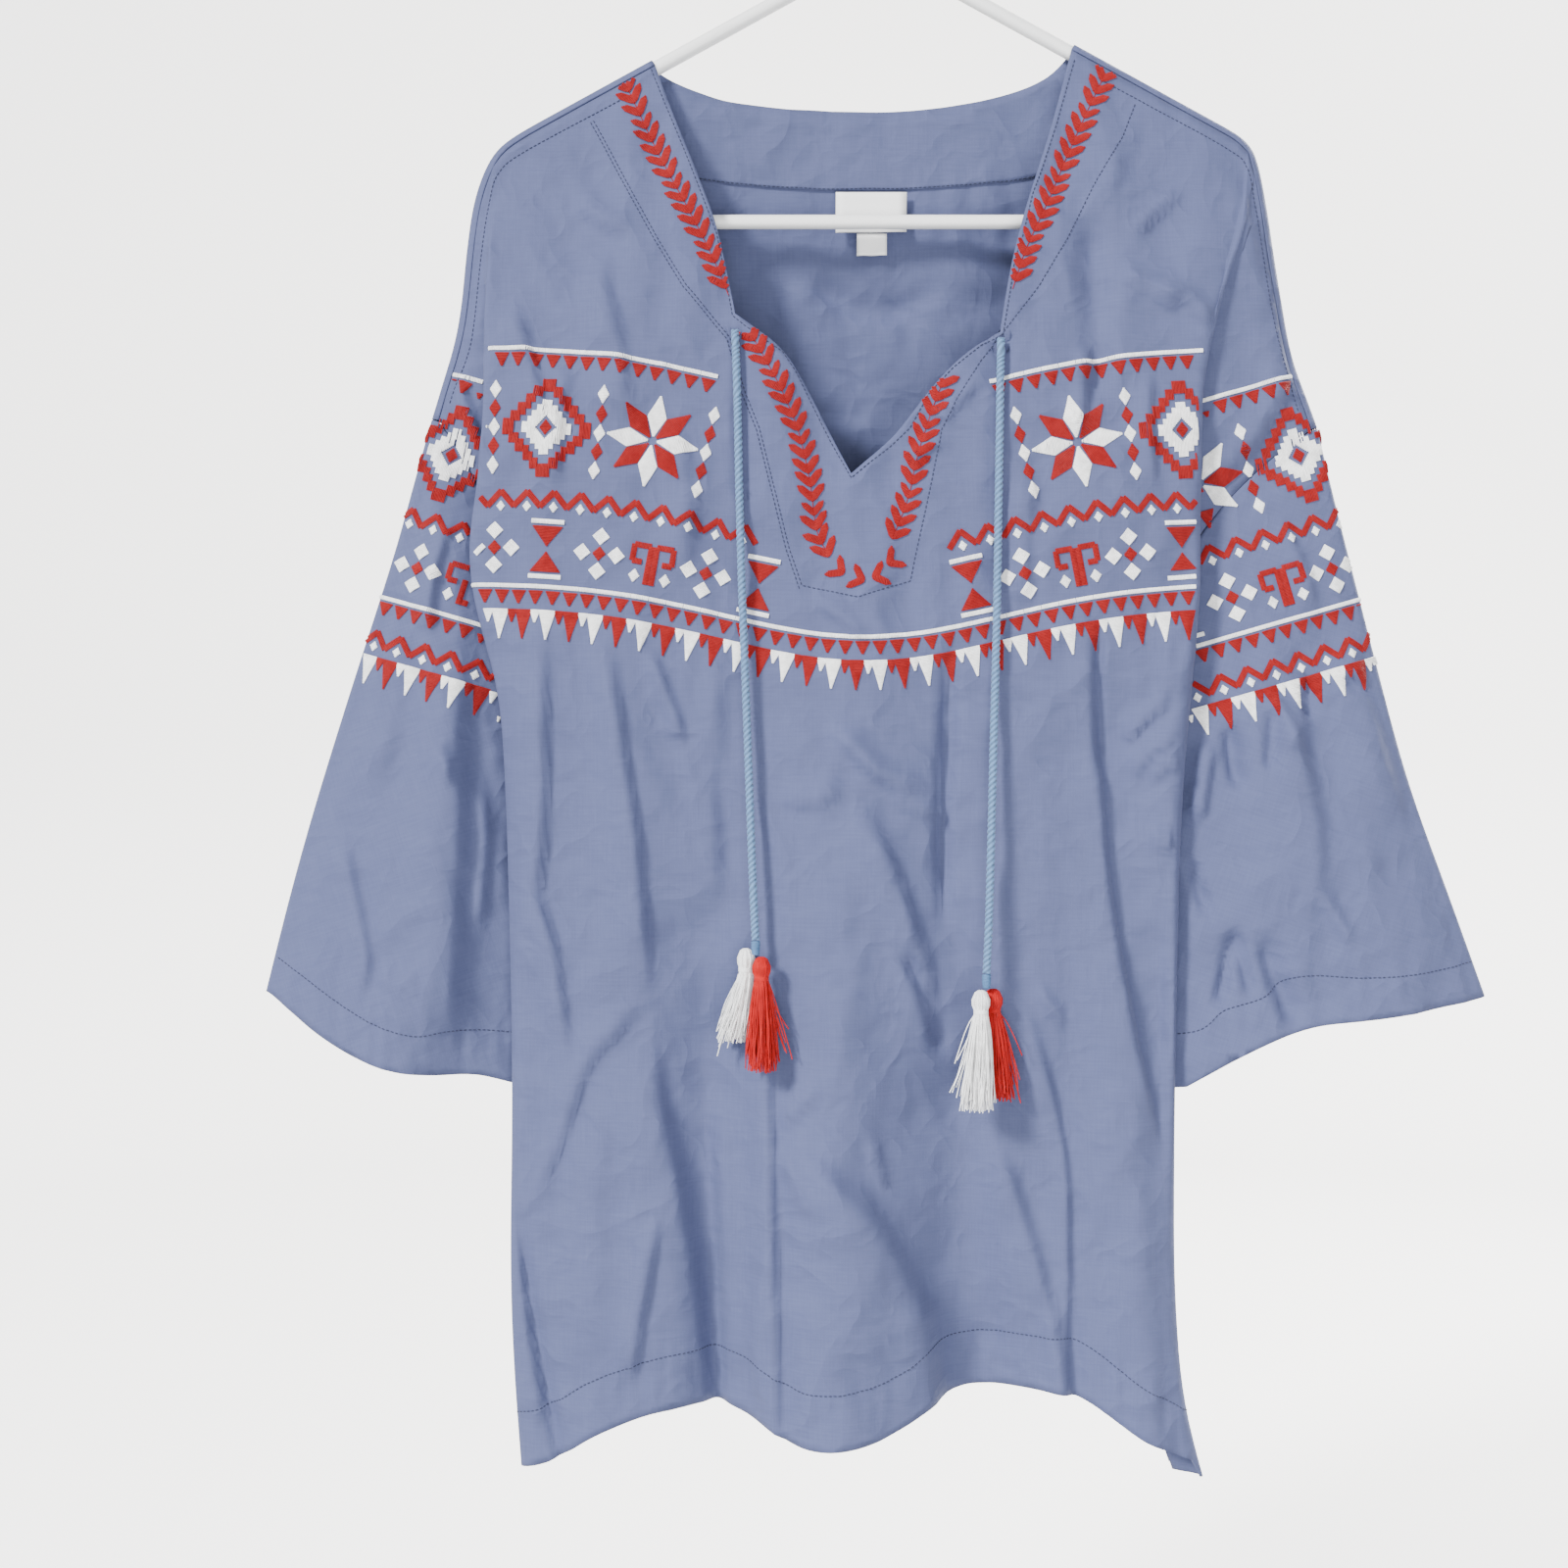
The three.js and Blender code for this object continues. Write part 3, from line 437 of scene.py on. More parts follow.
def plastic_finish(name, tint):
    """Moulded plastic: an even colour with faint swirls and fine scratches in the gloss."""
    finish = Finish(name)
    place = finish.place()
    swirl = finish.noise(place, 18.0, 2.0)
    fine = finish.noise(place, 420.0, 2.0)
    rough = (fine * 0.12 + 0.28).clamped()
    normal = finish.bump(fine, 0.05, 0.0004)
    shade = finish.mix(swirl, tint, toned(tint, 0.94))
    return finish.done(Base_Color=shade, Roughness=rough, Normal=normal)


def label_finish(tint):
    """Satin ribbon: close ribs across, with a few dull specks."""
    finish = Finish("label_ribbon")
    grain, _, along = finish.parts("grain")
    rib = (along * (2 * math.pi / 0.0006)).sin() * 0.5 + 0.5
    spots = finish.noise(grain, 900.0, 2.0)
    finish.shader.inputs["Sheen Weight"].default_value = 0.2
    normal = finish.bump(rib * 0.6 + spots * 0.5, 0.3, 0.0002)
    shade = finish.mix(spots * 0.5 + rib * 0.3, tint, toned(tint, 0.88))
    return finish.done(Base_Color=shade, Roughness=0.5, Normal=normal)


def wall_finish(tint, glow):
    """Matt floor and wall in one pale tone with faint unevenness, which also glow a little."""
    finish = Finish("pale_wall")
    blotch = finish.noise(finish.place(), 1.2, 2.0)
    even = finish.mix(blotch, tint, toned(tint, 0.97))
    finish.shader.inputs["Emission Strength"].default_value = glow
    return finish.done(Base_Color=even, Emission_Color=even, Roughness=0.9)


FINISHES = {}


def finish_of(name):
    """Each material is made once, the first time that a piece asks for it."""
    if name not in FINISHES:
        scene = bpy.context.scene
        threads = scene.tunic_thread
        FINISHES[name] = {
            "cotton": lambda: cloth_finish(scene.tunic_cloth),
            "red": lambda: thread_finish("red_thread", threads.red),
            "white": lambda: thread_finish("white_thread", threads.white),
            # The tassels' red is painted 1.7 times lighter than the band's red: a painted highlight against the shade
            # that the tassel throws on itself.
            "tassel_red": lambda: thread_finish("tassel_red", toned(threads.red, 1.7)),
            "tassel_white": lambda: thread_finish("tassel_white", threads.white, 0.2),
            # The sewing thread's dark colour is partly its own and partly painted shade of the stitched groove.
            "sewing": lambda: thread_finish("sewing_thread", threads.sewing, 0.1),
            "cord": lambda: cord_finish(scene.tunic_tie),
            "whipping": lambda: thread_finish("whipping_thread", scene.tunic_tie.cord),
            "plastic": lambda: plastic_finish("white_plastic", scene.tunic_hanger.plastic),
            "label": lambda: label_finish(scene.tunic_hanger.plastic),
            "wall": lambda: wall_finish(scene.tunic_stage.floor, scene.tunic_stage.glow),
        }[name]()
    return FINISHES[name]


# ---------- Meshes ----------

def linked(name, data):
    """A new object in the scene."""
    made = bpy.data.objects.new(name, data)
    bpy.context.scene.collection.objects.link(made)
    return made


def new_object(name, mesh, finish, smooth=True):
    piece = linked(name, mesh)
    if finish and not mesh.materials:
        mesh.materials.append(finish_of(finish))
    if smooth:
        mesh.shade_smooth()
    return piece


def mesh_from(name, points, faces=(), edges=()):
    mesh = bpy.data.meshes.new(name)
    mesh.from_pydata([tuple(p) for p in points], list(edges), list(faces))
    mesh.update()
    return mesh


def baked(piece):
    """The piece with its modifiers worked out into a plain mesh."""
    graph = bpy.context.evaluated_depsgraph_get()
    mesh = bpy.data.meshes.new_from_object(piece.evaluated_get(graph))
    piece.modifiers.clear()
    old = piece.data
    piece.data = mesh
    mesh.name = piece.name
    bpy.data.meshes.remove(old)
    return piece


def coordinates(mesh):
    flat = np.empty(len(mesh.vertices) * 3, np.float32)
    mesh.vertices.foreach_get("co", flat)
    return flat.reshape(-1, 3).astype(float)


def set_coordinates(mesh, points):
    mesh.vertices.foreach_set("co", np.asarray(points, np.float32).ravel())
    mesh.update()


def smooth_path(points, step):
    """Points about a step apart on a smooth curve through the given ones."""
    points = [Vector(p) for p in points]
    if len(points) == 2:
        points = [points[0], points[0].lerp(points[1], 0.5), points[1]]
    ends = [2 * points[0] - points[1], *points, 2 * points[-1] - points[-2]]
    found = [points[0]]
    for a, b, c, d in zip(ends, ends[1:], ends[2:], ends[3:]):
        count = max(1, round((c - b).length / step))
        for i in range(1, count + 1):
            t = i / count
            found.append(0.5 * (2 * b + (c - a) * t + (2 * a - 5 * b + 4 * c - d) * t**2
                                + (3 * b - a - 3 * c + d) * t**3))
    return found


def straight_path(points, step):
    """Points about a step apart on straight lines through the given ones."""
    points = [Vector(p) for p in points]
    found = [points[0]]
    for a, b in zip(points, points[1:]):
        count = max(1, round((b - a).length / step))
        found += [a.lerp(b, i / count) for i in range(1, count + 1)]
    return found


def tube(points, radius_at, sides, closed=False):
    """Rings round a path; radius_at(share, angle) gives the radius of each point."""
    points = [Vector(p) for p in points]
    count = len(points)
    vertices, faces = [], []
    side = None
    for i, p in enumerate(points):
        before = points[(i - 1) % count if closed else max(i - 1, 0)]
        after = points[(i + 1) % count if closed else min(i + 1, count - 1)]
        along = (after - before).normalized()
        if side is None:
            side = along.orthogonal().normalized() if abs(along.y) > 0.9 else Vector((0, 1, 0))
        side = (side - along * side.dot(along)).normalized()
        other = along.cross(side)
        for k in range(sides):
            angle = 2 * math.pi * k / sides
            reach = radius_at(i / (count - 1), angle)
            vertices.append(p + side * (reach * math.cos(angle)) + other * (reach * math.sin(angle)))
    for i in range(count if closed else count - 1):
        a, b = i * sides, ((i + 1) % count) * sides
        for k in range(sides):
            n = (k + 1) % sides
            faces.append((a + k, a + n, b + n, b + k))
    if not closed:
        faces.append(tuple(range(sides))[::-1])
        faces.append(tuple(range((count - 1) * sides, count * sides)))
    return vertices, faces


def outward(mesh):
    """Turns every face of a closed mesh to point out."""
    bm = bmesh.new()
    bm.from_mesh(mesh)
    bmesh.ops.remove_doubles(bm, verts=bm.verts, dist=1e-6)
    bmesh.ops.recalc_face_normals(bm, faces=bm.faces)
    bm.to_mesh(mesh)
    bm.free()
    return mesh


# ---------- Node trees for threads and stitches ----------

def node_tree(name, inputs):
    """An empty tree of geometry nodes with the named inputs."""
    tree = bpy.data.node_groups.new(name, "GeometryNodeTree")
    tree.interface.new_socket("Geometry", in_out="INPUT", socket_type="NodeSocketGeometry")
    tree.interface.new_socket("Geometry", in_out="OUTPUT", socket_type="NodeSocketGeometry")
    for label, kind, default in inputs:
        socket = tree.interface.new_socket(label, in_out="INPUT", socket_type=kind)
        if default is not None:
            socket.default_value = default
    return tree


def add(tree, kind, settings=None, sockets=None):
    """A node with its settings, and the values or links of its sockets."""
    made = tree.nodes.new(kind)
    for key, value in (settings or {}).items():
        setattr(made, key, value)
    for key, value in (sockets or {}).items():
        if isinstance(value, bpy.types.NodeSocket):
            tree.links.new(value, made.inputs[key])
        else:
            made.inputs[key].default_value = value
    return made


def strand_tree():
    """Round strands along the edges of a mesh."""
    if "strands" in bpy.data.node_groups:
        return bpy.data.node_groups["strands"]
    tree = node_tree("strands", [
        ("Thickness", "NodeSocketFloat", 0.001),
        ("Sides", "NodeSocketInt", 5),
        ("Material", "NodeSocketMaterial", None),
    ])
    given = add(tree, "NodeGroupInput").outputs
    curve = add(tree, "GeometryNodeMeshToCurve", {}, {"Mesh": given["Geometry"]})
    half = add(tree, "ShaderNodeMath", {"operation": "MULTIPLY"}, {0: given["Thickness"], 1: 0.5})
    profile = add(tree, "GeometryNodeCurvePrimitiveCircle", {}, {
        "Resolution": given["Sides"], "Radius": half.outputs[0]})
    body = add(tree, "GeometryNodeCurveToMesh", {}, {
        "Curve": curve.outputs[0], "Profile Curve": profile.outputs[0], "Fill Caps": True})
    smooth = add(tree, "GeometryNodeSetShadeSmooth", {}, {"Geometry": body.outputs[0]})
    real = add(tree, "GeometryNodeRealizeInstances", {}, {"Geometry": smooth.outputs[0]})
    last = add(tree, "GeometryNodeSetMaterial", {}, {
        "Geometry": real.outputs[0], "Material": given["Material"]})
    add(tree, "NodeGroupOutput", {}, {"Geometry": last.outputs[0]})
    return tree


def stitch_tree():
    """Separate machine stitches, evenly spaced along the edges of a mesh."""
    if "stitches" in bpy.data.node_groups:
        return bpy.data.node_groups["stitches"]
    tree = node_tree("stitches", [
        ("Pitch", "NodeSocketFloat", 0.0026),
        ("Thickness", "NodeSocketFloat", 0.0006),
        ("Share", "NodeSocketFloat", 0.8),
        ("Material", "NodeSocketMaterial", None),
    ])
    given = add(tree, "NodeGroupInput").outputs
    curve = add(tree, "GeometryNodeMeshToCurve", {}, {"Mesh": given["Geometry"]})
    points = add(tree, "GeometryNodeCurveToPoints", {"mode": "LENGTH"}, {
        "Curve": curve.outputs[0], "Length": given["Pitch"]})
    aim = add(tree, "FunctionNodeAlignRotationToVector", {"axis": "Z"}, {
        "Vector": points.outputs["Tangent"]})
    ball = add(tree, "GeometryNodeMeshUVSphere", {}, {"Segments": 6, "Rings": 4, "Radius": 0.5})
    size = add(tree, "ShaderNodeMath", {"operation": "MULTIPLY"}, {0: given["Pitch"], 1: given["Share"]})
    scale = add(tree, "ShaderNodeCombineXYZ", {}, {
        "X": given["Thickness"], "Y": given["Thickness"], "Z": size.outputs[0]})
    placed = add(tree, "GeometryNodeInstanceOnPoints", {}, {
        "Points": points.outputs["Points"], "Instance": ball.outputs["Mesh"],
        "Rotation": aim.outputs[0], "Scale": scale.outputs[0]})
    real = add(tree, "GeometryNodeRealizeInstances", {}, {"Geometry": placed.outputs[0]})
    smooth = add(tree, "GeometryNodeSetShadeSmooth", {}, {"Geometry": real.outputs[0]})
    last = add(tree, "GeometryNodeSetMaterial", {}, {
        "Geometry": smooth.outputs[0], "Material": given["Material"]})
    add(tree, "NodeGroupOutput", {}, {"Geometry": last.outputs[0]})
    return tree


def along_lines(name, lines, tree, finish, slot, **values):
    """A piece that a node tree makes along the given lines of points."""
    points, edges = [], []
    for line in lines:
        first = len(points)
        points += line
        edges += [(i, i + 1) for i in range(first, len(points) - 1)]
    if not edges:
        raise RuntimeError(f"{name} has no line to follow")
    piece = new_object(name, mesh_from(name, points, edges=edges), None, smooth=False)
    modifier = piece.modifiers.new(name, "NODES")
    modifier.node_group = tree
    values["Material"] = finish_of(finish)
    for item in tree.interface.items_tree:
        if item.item_type == "SOCKET" and item.in_out == "INPUT" and item.name in values:
            modifier[item.identifier] = values[item.name]
    baked(piece)
    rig.ride(piece, "root")
    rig.slot(piece, slot)
    return piece


# ---------- The cloth's folds and creases, in millimetres ----------

# Each crease: its line (x, z), its height (below 0 is a groove), and how wide it is to the left
# and to the right of the line, seen along it with +Z up and the line going down.
CREASES = {
    FRONT: [
        ([(-184, -430), (-184, -489), (-184.6, -556), (-188, -590), (-178, -623),
          (-169, -700)], 4.2, 15, 3.2),
        ([(-149, -440), (-147.6, -462), (-139, -523), (-134, -556), (-131, -593), (-127, -634),
          (-132, -652)], 4.2, 15, 3.4),
        ([(-127, -640), (-139, -660), (-159, -682), (-176, -728), (-193, -764)], 3.2, 12, 3.2),
        ([(-129, -652), (-127, -664), (-122, -701), (-112, -748), (-102, -815),
          (-92, -930)], 5.5, 22, 5.5),
        ([(-120, -760), (-129, -808), (-138, -862)], 2.8, 10, 3.2),
        ([(-127, -455), (-116, -482), (-106, -510)], 2.2, 8, 3.2),
        ([(-94, -452), (-93, -520), (-92, -612)], 3.2, 14, 7),
        ([(-88, -690), (-85, -760), (-82, -840), (-80, -930)], 4.0, 5, 9),
        ([(-64, -640), (-60, -760), (-56, -930)], 5.5, 20, 4.0),
        ([(-200, -756), (-190, -830), (-172, -920)], -3.4, 3.0, 8),
        ([(-31, -498), (-13, -514), (-1, -526), (28, -538)], 3.2, 3.0, 10),
        ([(-56, -541), (-32, -539), (-18, -530)], 2.6, 3.0, 8),
        ([(-16, -538), (0, -563), (12, -593), (25, -633), (34, -680)], 5.0, 17, 3.6),
        ([(2, -537), (20, -544), (38, -547)], 2.4, 3.0, 7),
        ([(10, -618), (24, -644), (35, -684)], -4.0, 4, 8),
        ([(38, -446), (36, -512), (34, -556), (35, -620)], -4.0, 3.4, 6),
        ([(-56, -704), (-40, -734), (-22, -751), (-5, -768), (12, -798), (24, -832),
          (36, -930)], 7.0, 26, 6.5),
        ([(-57, -716), (-42, -704), (-33, -692)], 2.0, 3.0, 6),
        ([(-53, -728), (-45, -745), (-38, -764)], 2.0, 4, 3),
        ([(-6, -720), (-2, -735), (1, -751)], 1.8, 4, 3),
        ([(52, -700), (56, -714), (72, -754), (86, -801), (96, -845), (104, -930)], 4.6, 22, 6),
        ([(72, -632), (90, -690), (101, -745), (102, -850), (106, -930)], 3.6, 16, 4.0),
        ([(86, -642), (95, -653), (104, -662)], 1.8, 5, 3),
        ([(121, -440), (123, -472), (126, -546), (133, -607), (147, -681), (162, -744)], -6.5, 4.0, 32),
        ([(119, -440), (120, -486), (121, -532)], -3.0, 4, 3.2),
        ([(147, -528), (156, -521), (166, -518)], 2.4, 3, 5),
        ([(147, -557), (154, -561), (162, -562)], 2.4, 3, 5),
        ([(134, -508), (146, -494), (160, -484)], 2.4, 3, 6),
        ([(138, -528), (150, -512), (166, -502)], 2.0, 3, 6),
        ([(-152, -236), (-152, -252), (-146, -278), (-140.5, -307), (-139, -340)], 3.2, 16, 4),
        ([(-170, -206), (-152, -220), (-136, -224)], 2.2, 4, 8),
        ([(-202, -262), (-196, -284), (-190, -306), (-180, -340)], 2.8, 10, 3.6),
        ([(-170, -300), (-176, -330), (-178, -372)], 2.0, 9, 4),
        ([(119, -206), (119, -250), (119, -330)], -3.2, 9, 9),
        ([(116, -286), (112, -312), (107, -346)], 2.4, 8, 4),
        ([(130, -250), (148, -257), (166, -271)], 2.8, 3.2, 8),
        ([(150, -256), (166, -262), (184, -278)], 2.8, 3.2, 7),
        ([(138, -228), (152, -214), (168, -200)], 2.4, 4, 4),
        ([(112, -214), (126, -196), (132, -178)], 1.8, 6, 4),
        ([(150, -300), (146, -330), (150, -372)], 2.2, 8, 4),
        ([(-38, -430), (-22, -440), (-6, -452)], 2.2, 3, 8),
        ([(28, -334), (42, -322), (58, -304)], 1.8, 4, 4),
        ([(14, -356), (26, -347), (40, -340)], 1.4, 4, 4),
        ([(-112, -330), (-106, -372), (-108, -420)], 2.4, 12, 5),
        ([(84, -352), (78, -392), (80, -440)], 2.2, 10, 5),
        ([(-236, -300), (-226, -330), (-212, -370)], 2.0, 8, 4),
        ([(232, -300), (214, -330), (190, -366)], 2.2, 8, 4),
        ([(-60, -780), (-66, -830), (-60, -880)], 1.8, 8, 3),
        ([(60, -560), (66, -620), (62, -690)], 3.0, 16, 8),
        ([(-150, -700), (-158, -770), (-160, -840)], 2.0, 16, 8),
    ],
    BACK: [
        ([(-150, -240), (-120, -330), (-112, -440)], 3.0, 16, 4),
        ([(150, -230), (126, -320), (118, -440)], 3.0, 4, 16),
        ([(-70, -420), (-64, -560), (-74, -700), (-70, -780)], 3.8, 14, 5),
        ([(40, -380), (34, -520), (44, -680), (40, -930)], 4.2, 6, 16),
        ([(-20, -500), (-4, -560), (2, -640)], -3.0, 5, 9),
        ([(96, -560), (104, -680), (100, -930)], 3.6, 5, 14),
        ([(-140, -520), (-134, -640), (-142, -930)], 4.0, 14, 5),
        ([(-50, -236), (0, -262), (50, -242)], 2.2, 5, 10),
        ([(-90, -300), (-40, -322), (6, -318)], 2.2, 4, 10),
        ([(20, -340), (70, -372), (96, -366)], 2.0, 4, 9),
        ([(-100, -600), (-84, -640), (-60, -664)], 2.4, 4, 9),
        ([(-120, -700), (-104, -760), (-96, -830)], 2.6, 12, 4),
    ],
}
# The sleeves' creases, in the same columns.
SLEEVE_CREASES = {
    "left": {
        FRONT: [
            ([(-230, -440), (-234, -503), (-232, -543), (-234, -583), (-235, -624),
              (-240, -700)], 6.0, 30, 7),
            ([(-222, -520), (-218, -560), (-222, -620)], 2.0, 5, 4),
            ([(-298, -555), (-290, -590), (-284, -614), (-282, -634), (-290, -655)], 2.4, 9, 4),
            ([(-276, -636), (-264, -641), (-250, -642)], 1.8, 3, 7),
            ([(-242, -508), (-236, -520), (-236, -532)], 2.0, 5, 3),
            ([(-262, -430), (-268, -480), (-280, -540)], 2.4, 16, 8),
            ([(-236, -380), (-246, -412), (-250, -450)], 2.4, 8, 4),
        ],
        BACK: [
            ([(-240, -420), (-256, -540), (-270, -700)], 4.0, 8, 18),
            ([(-214, -470), (-220, -580), (-228, -700)], -3.0, 6, 10),
            ([(-280, -500), (-292, -560), (-304, -620)], 2.4, 5, 10),
        ],
    },
    "right": {
        FRONT: [
            ([(228, -470), (230, -509), (236, -535), (240, -563), (238, -593), (234, -616)], 4.4, 22, 7),
            ([(220, -480), (226, -498), (233, -512)], 2.2, 8, 3.4),
            ([(220, -486), (217, -506), (215, -526)], -2.6, 4, 5),
            ([(194, -496), (196, -515), (199, -536)], -3.0, 4, 6),
            ([(185, -505), (180, -530), (176, -556)], 3.0, 8, 4),
            ([(174, -570), (178, -588), (184, -608)], -2.2, 4, 4),
            ([(197, -608), (193, -630), (187, -658)], -2.8, 4, 3.6),
            ([(197, -608), (201, -628), (208, -652)], -2.6, 3.6, 4),
            ([(212, -612), (219, -638), (232, -668)], -3.6, 5, 8),
            ([(256, -472), (268, -478), (288, -484)], -2.8, 3.2, 5),
            ([(239, -468), (240, -482), (239, -498)], -2.4, 4, 4),
            ([(242, -588), (250, -602), (262, -620)], 2.0, 4, 6),
            ([(262, -440), (276, -500), (290, -560)], 2.0, 16, 10),
            ([(222, -380), (236, -412), (244, -440)], 2.2, 8, 4),
        ],
        BACK: [
            ([(226, -420), (240, -540), (256, -700)], 4.0, 18, 8),
            ([(188, -480), (196, -580), (206, -700)], -3.0, 10, 6),
            ([(270, -500), (286, -560), (300, -620)], 2.4, 10, 5),
        ],
    },
}
# A crease with a side narrower than SHARP is made narrower still, and one with a side wider than
# BROAD counts as a fold. Both stand out more than their stated height.
SHARP, SHARPER = 5, 0.82
BROAD = 10
BOLD_FOLD, BOLD_CREASE = 1.6, 2.1
# How closely a crease's or a seam's curve is followed, in millimetres.
PATH_STEP = 10
# The armhole seams, near which nothing moves, so that the panels still meet.
ARMHOLE = {
    "left": [(-244.5, -328), (-236, -345), (-222, -366), (-210, -396), (-202, -436)],
    "right": [(241.5, -333), (232, -346), (200, -366), (172, -396), (154, -436)],
}


def nearest_on(x, z, path):
    """Distance to a path, the side (above 0: right of it) and the share of the way along it."""
    far = np.full(x.shape, 1e9)
    signed, place = np.zeros_like(x), np.zeros_like(x)
    run = np.concatenate([[0], np.cumsum(np.linalg.norm(np.diff(path, axis=0), axis=1))])
    for a, b, start, end in zip(path, path[1:], run, run[1:]):
        step = b - a
        t = np.clip(((x - a[0]) * step[0] + (z - a[1]) * step[1]) / step.dot(step), 0, 1)
        dx, dz = x - a[0] - t * step[0], z - a[1] - t * step[1]
        reach = np.hypot(dx, dz)
        closer = reach < far
        far = np.where(closer, reach, far)
        signed = np.where(closer, dz * step[0] - dx * step[1], signed)
        place = np.where(closer, (start + t * (end - start)) / run[-1], place)
    return far, signed, place


def flat_path(line, step):
    """A smooth curve through the places (x, z), as an array."""
    return np.array([(p.x, p.y) for p in smooth_path([(a, b, 0) for a, b in line], step)])


def smooth_share(t):
    """0 up to 0, 1 from 1 on, and a smooth rise between."""
    t = np.clip(t, 0, 1)
    return t * t * (3 - 2 * t)


def crease_height(x, z, creases):
    """Sum of the creases' heights at points (x, z), in millimetres."""
    total = np.zeros_like(x)
    for line, height, left, right in creases:
        path = flat_path(line, PATH_STEP)
        reach = 2.6 * max(left, right)
        low, high = path.min(0) - reach, path.max(0) + reach
        near = (x > low[0]) & (x < high[0]) & (z > low[1]) & (z < high[1])
        if near.any():
            far, signed, place = nearest_on(x[near], z[near], path)
            width = np.where(signed < 0, left, right) * (SHARPER if min(left, right) < SHARP else 1)
            taper = smooth_share(np.minimum(place, 1 - place) * 4)
            bold = BOLD_FOLD if max(left, right) > BROAD else BOLD_CREASE
            total[near] += bold * height * taper * np.exp(-((far / width) ** 2))
    return total


def crumple_height(x, z, side, amount):
    """Small crumples with sharp ridges, and soft upright folds further down."""
    found = np.empty_like(x)
    for i, (a, b) in enumerate(zip(x, z)):
        at = Vector((a * 0.015, b * 0.011, side * 3.1 + SEED))
        bend = noise.noise_vector(at * 0.8) * 0.9
        large = 1 - 2 * abs(noise.noise(at + bend))
        small = 1 - 2 * abs(noise.noise(at * 2.6 + bend * 1.4))
        upright = noise.noise(Vector((a * 0.030, b * 0.0045, side * 5.3)))
        found[i] = large * 0.8 + small * 0.42 + upright * 1.1
    chest = np.exp(-(((z + 300) / 190) ** 2))
    return amount * found * (0.75 + 0.45 * chest)


def pucker_height(x, z, lines):
    """Short ripples across a hem's stitches."""
    total = np.zeros_like(x)
    for line in lines:
        path = np.array(sorted(line))
        level = np.interp(x, path[:, 0], path[:, 1])
        inside = (x > path[0, 0] - 4) & (x < path[-1, 0] + 4)
        wave = np.sin(x * 0.46 + 2.2 * np.sin(x * 0.091)) + 0.6 * np.sin(x * 0.83 + 1)
        total += np.where(inside, 0.42 * wave * np.exp(-(((z - level + 6) / 15) ** 2)), 0)
    return total


# ---------- Panels of cloth ----------

# The finished panels by their node, for laying threads on them.
PANELS = {}


def wall_copy(node, levels, longest):
    """A node's wall as smooth quads: a copy whose rims stay crisp and whose faces are small."""
    bm = bmesh.new()
    bm.from_mesh(NODES[node].data)
    bmesh.ops.remove_doubles(bm, verts=bm.verts, dist=2e-6)
    span = {face: max(edge.calc_length() for edge in face.edges) for face in bm.faces}
    flat_enough = math.radians(50)
    diagonals = [
        edge for edge in bm.edges
        if len(edge.link_faces) == 2
        and all(edge.calc_length() > 0.999 * span[face] for face in edge.link_faces)
        and edge.calc_face_angle(math.pi) < flat_enough
    ]
    bmesh.ops.dissolve_edges(bm, edges=diagonals, use_verts=False)
    crease = bm.edges.layers.float.new("crease_edge")
    across_rim, rim_bend, sheet_bend = 1.6 * MM, math.radians(25), math.radians(62)
    for edge in bm.edges:
        limit = rim_bend if edge.calc_length() < across_rim else sheet_bend
        if edge.calc_face_angle(0) > limit:
            edge[crease] = 1
    mesh = bpy.data.meshes.new(node)
    bm.to_mesh(mesh)
    bm.free()
    piece = new_object(node + "_cloth", mesh, "cotton")
    modifier = piece.modifiers.new("smooth", "SUBSURF")
    modifier.levels = modifier.render_levels = levels
    baked(piece)
    bm = bmesh.new()
    bm.from_mesh(piece.data)
    long_edges = [edge for edge in bm.edges if edge.calc_length() > longest]
    if long_edges:
        bmesh.ops.subdivide_edges(bm, edges=long_edges, cuts=1, use_grid_fill=True)
    bm.to_mesh(piece.data)
    bm.free()
    return piece


def grain_map(mesh, turn=0.0):
    """Cloth coordinates in metres, along each face's own plane and turned with the grain."""
    mesh.update()
    layer = mesh.uv_layers.new(name="grain")
    points = coordinates(mesh)
    corner = np.empty(len(mesh.loops), np.int32)
    mesh.loops.foreach_get("vertex_index", corner)
    normal = np.empty(len(mesh.polygons) * 3, np.float32)
    mesh.polygons.foreach_get("normal", normal)
    normal = normal.reshape(-1, 3)
    total = np.empty(len(mesh.polygons), np.int32)
    mesh.polygons.foreach_get("loop_total", total)
    sideways = np.repeat(np.abs(normal[:, 0]) > 2.5 * np.abs(normal[:, 1]), total)
    p = points[corner]
    u = np.where(sideways, p[:, 1], p[:, 0])
    v = p[:, 2]
    c, s = math.cos(turn), math.sin(turn)
    layer.data.foreach_set("uv", np.stack([u * c - v * s, u * s + v * c], 1).astype(np.float32).ravel())


def edge_fade(x, z, panel):
    """0 at the seams and over the hanger's arms, 1 further in."""
    low, high = [np.interp(z, *EDGE_LINES[panel][k]) for k in ("low", "high")]
    inside = np.minimum(x - low, high - x)
    arm = FRAME_TOP - math.tan(ARM_SLOPE) * np.abs(x)
    under = np.minimum(arm, YOKE) - z
    fade = np.clip(inside / 9, 0.2, 1) * smooth_share(under / 40)
    for line in ARMHOLE.values():
        far, _, _ = nearest_on(x, z, flat_path(line, PATH_STEP))
        fade *= smooth_share((far - 1) / 16)
    return fade


# Above this height the cloth is held by the hanger and stays smooth.
YOKE = -128
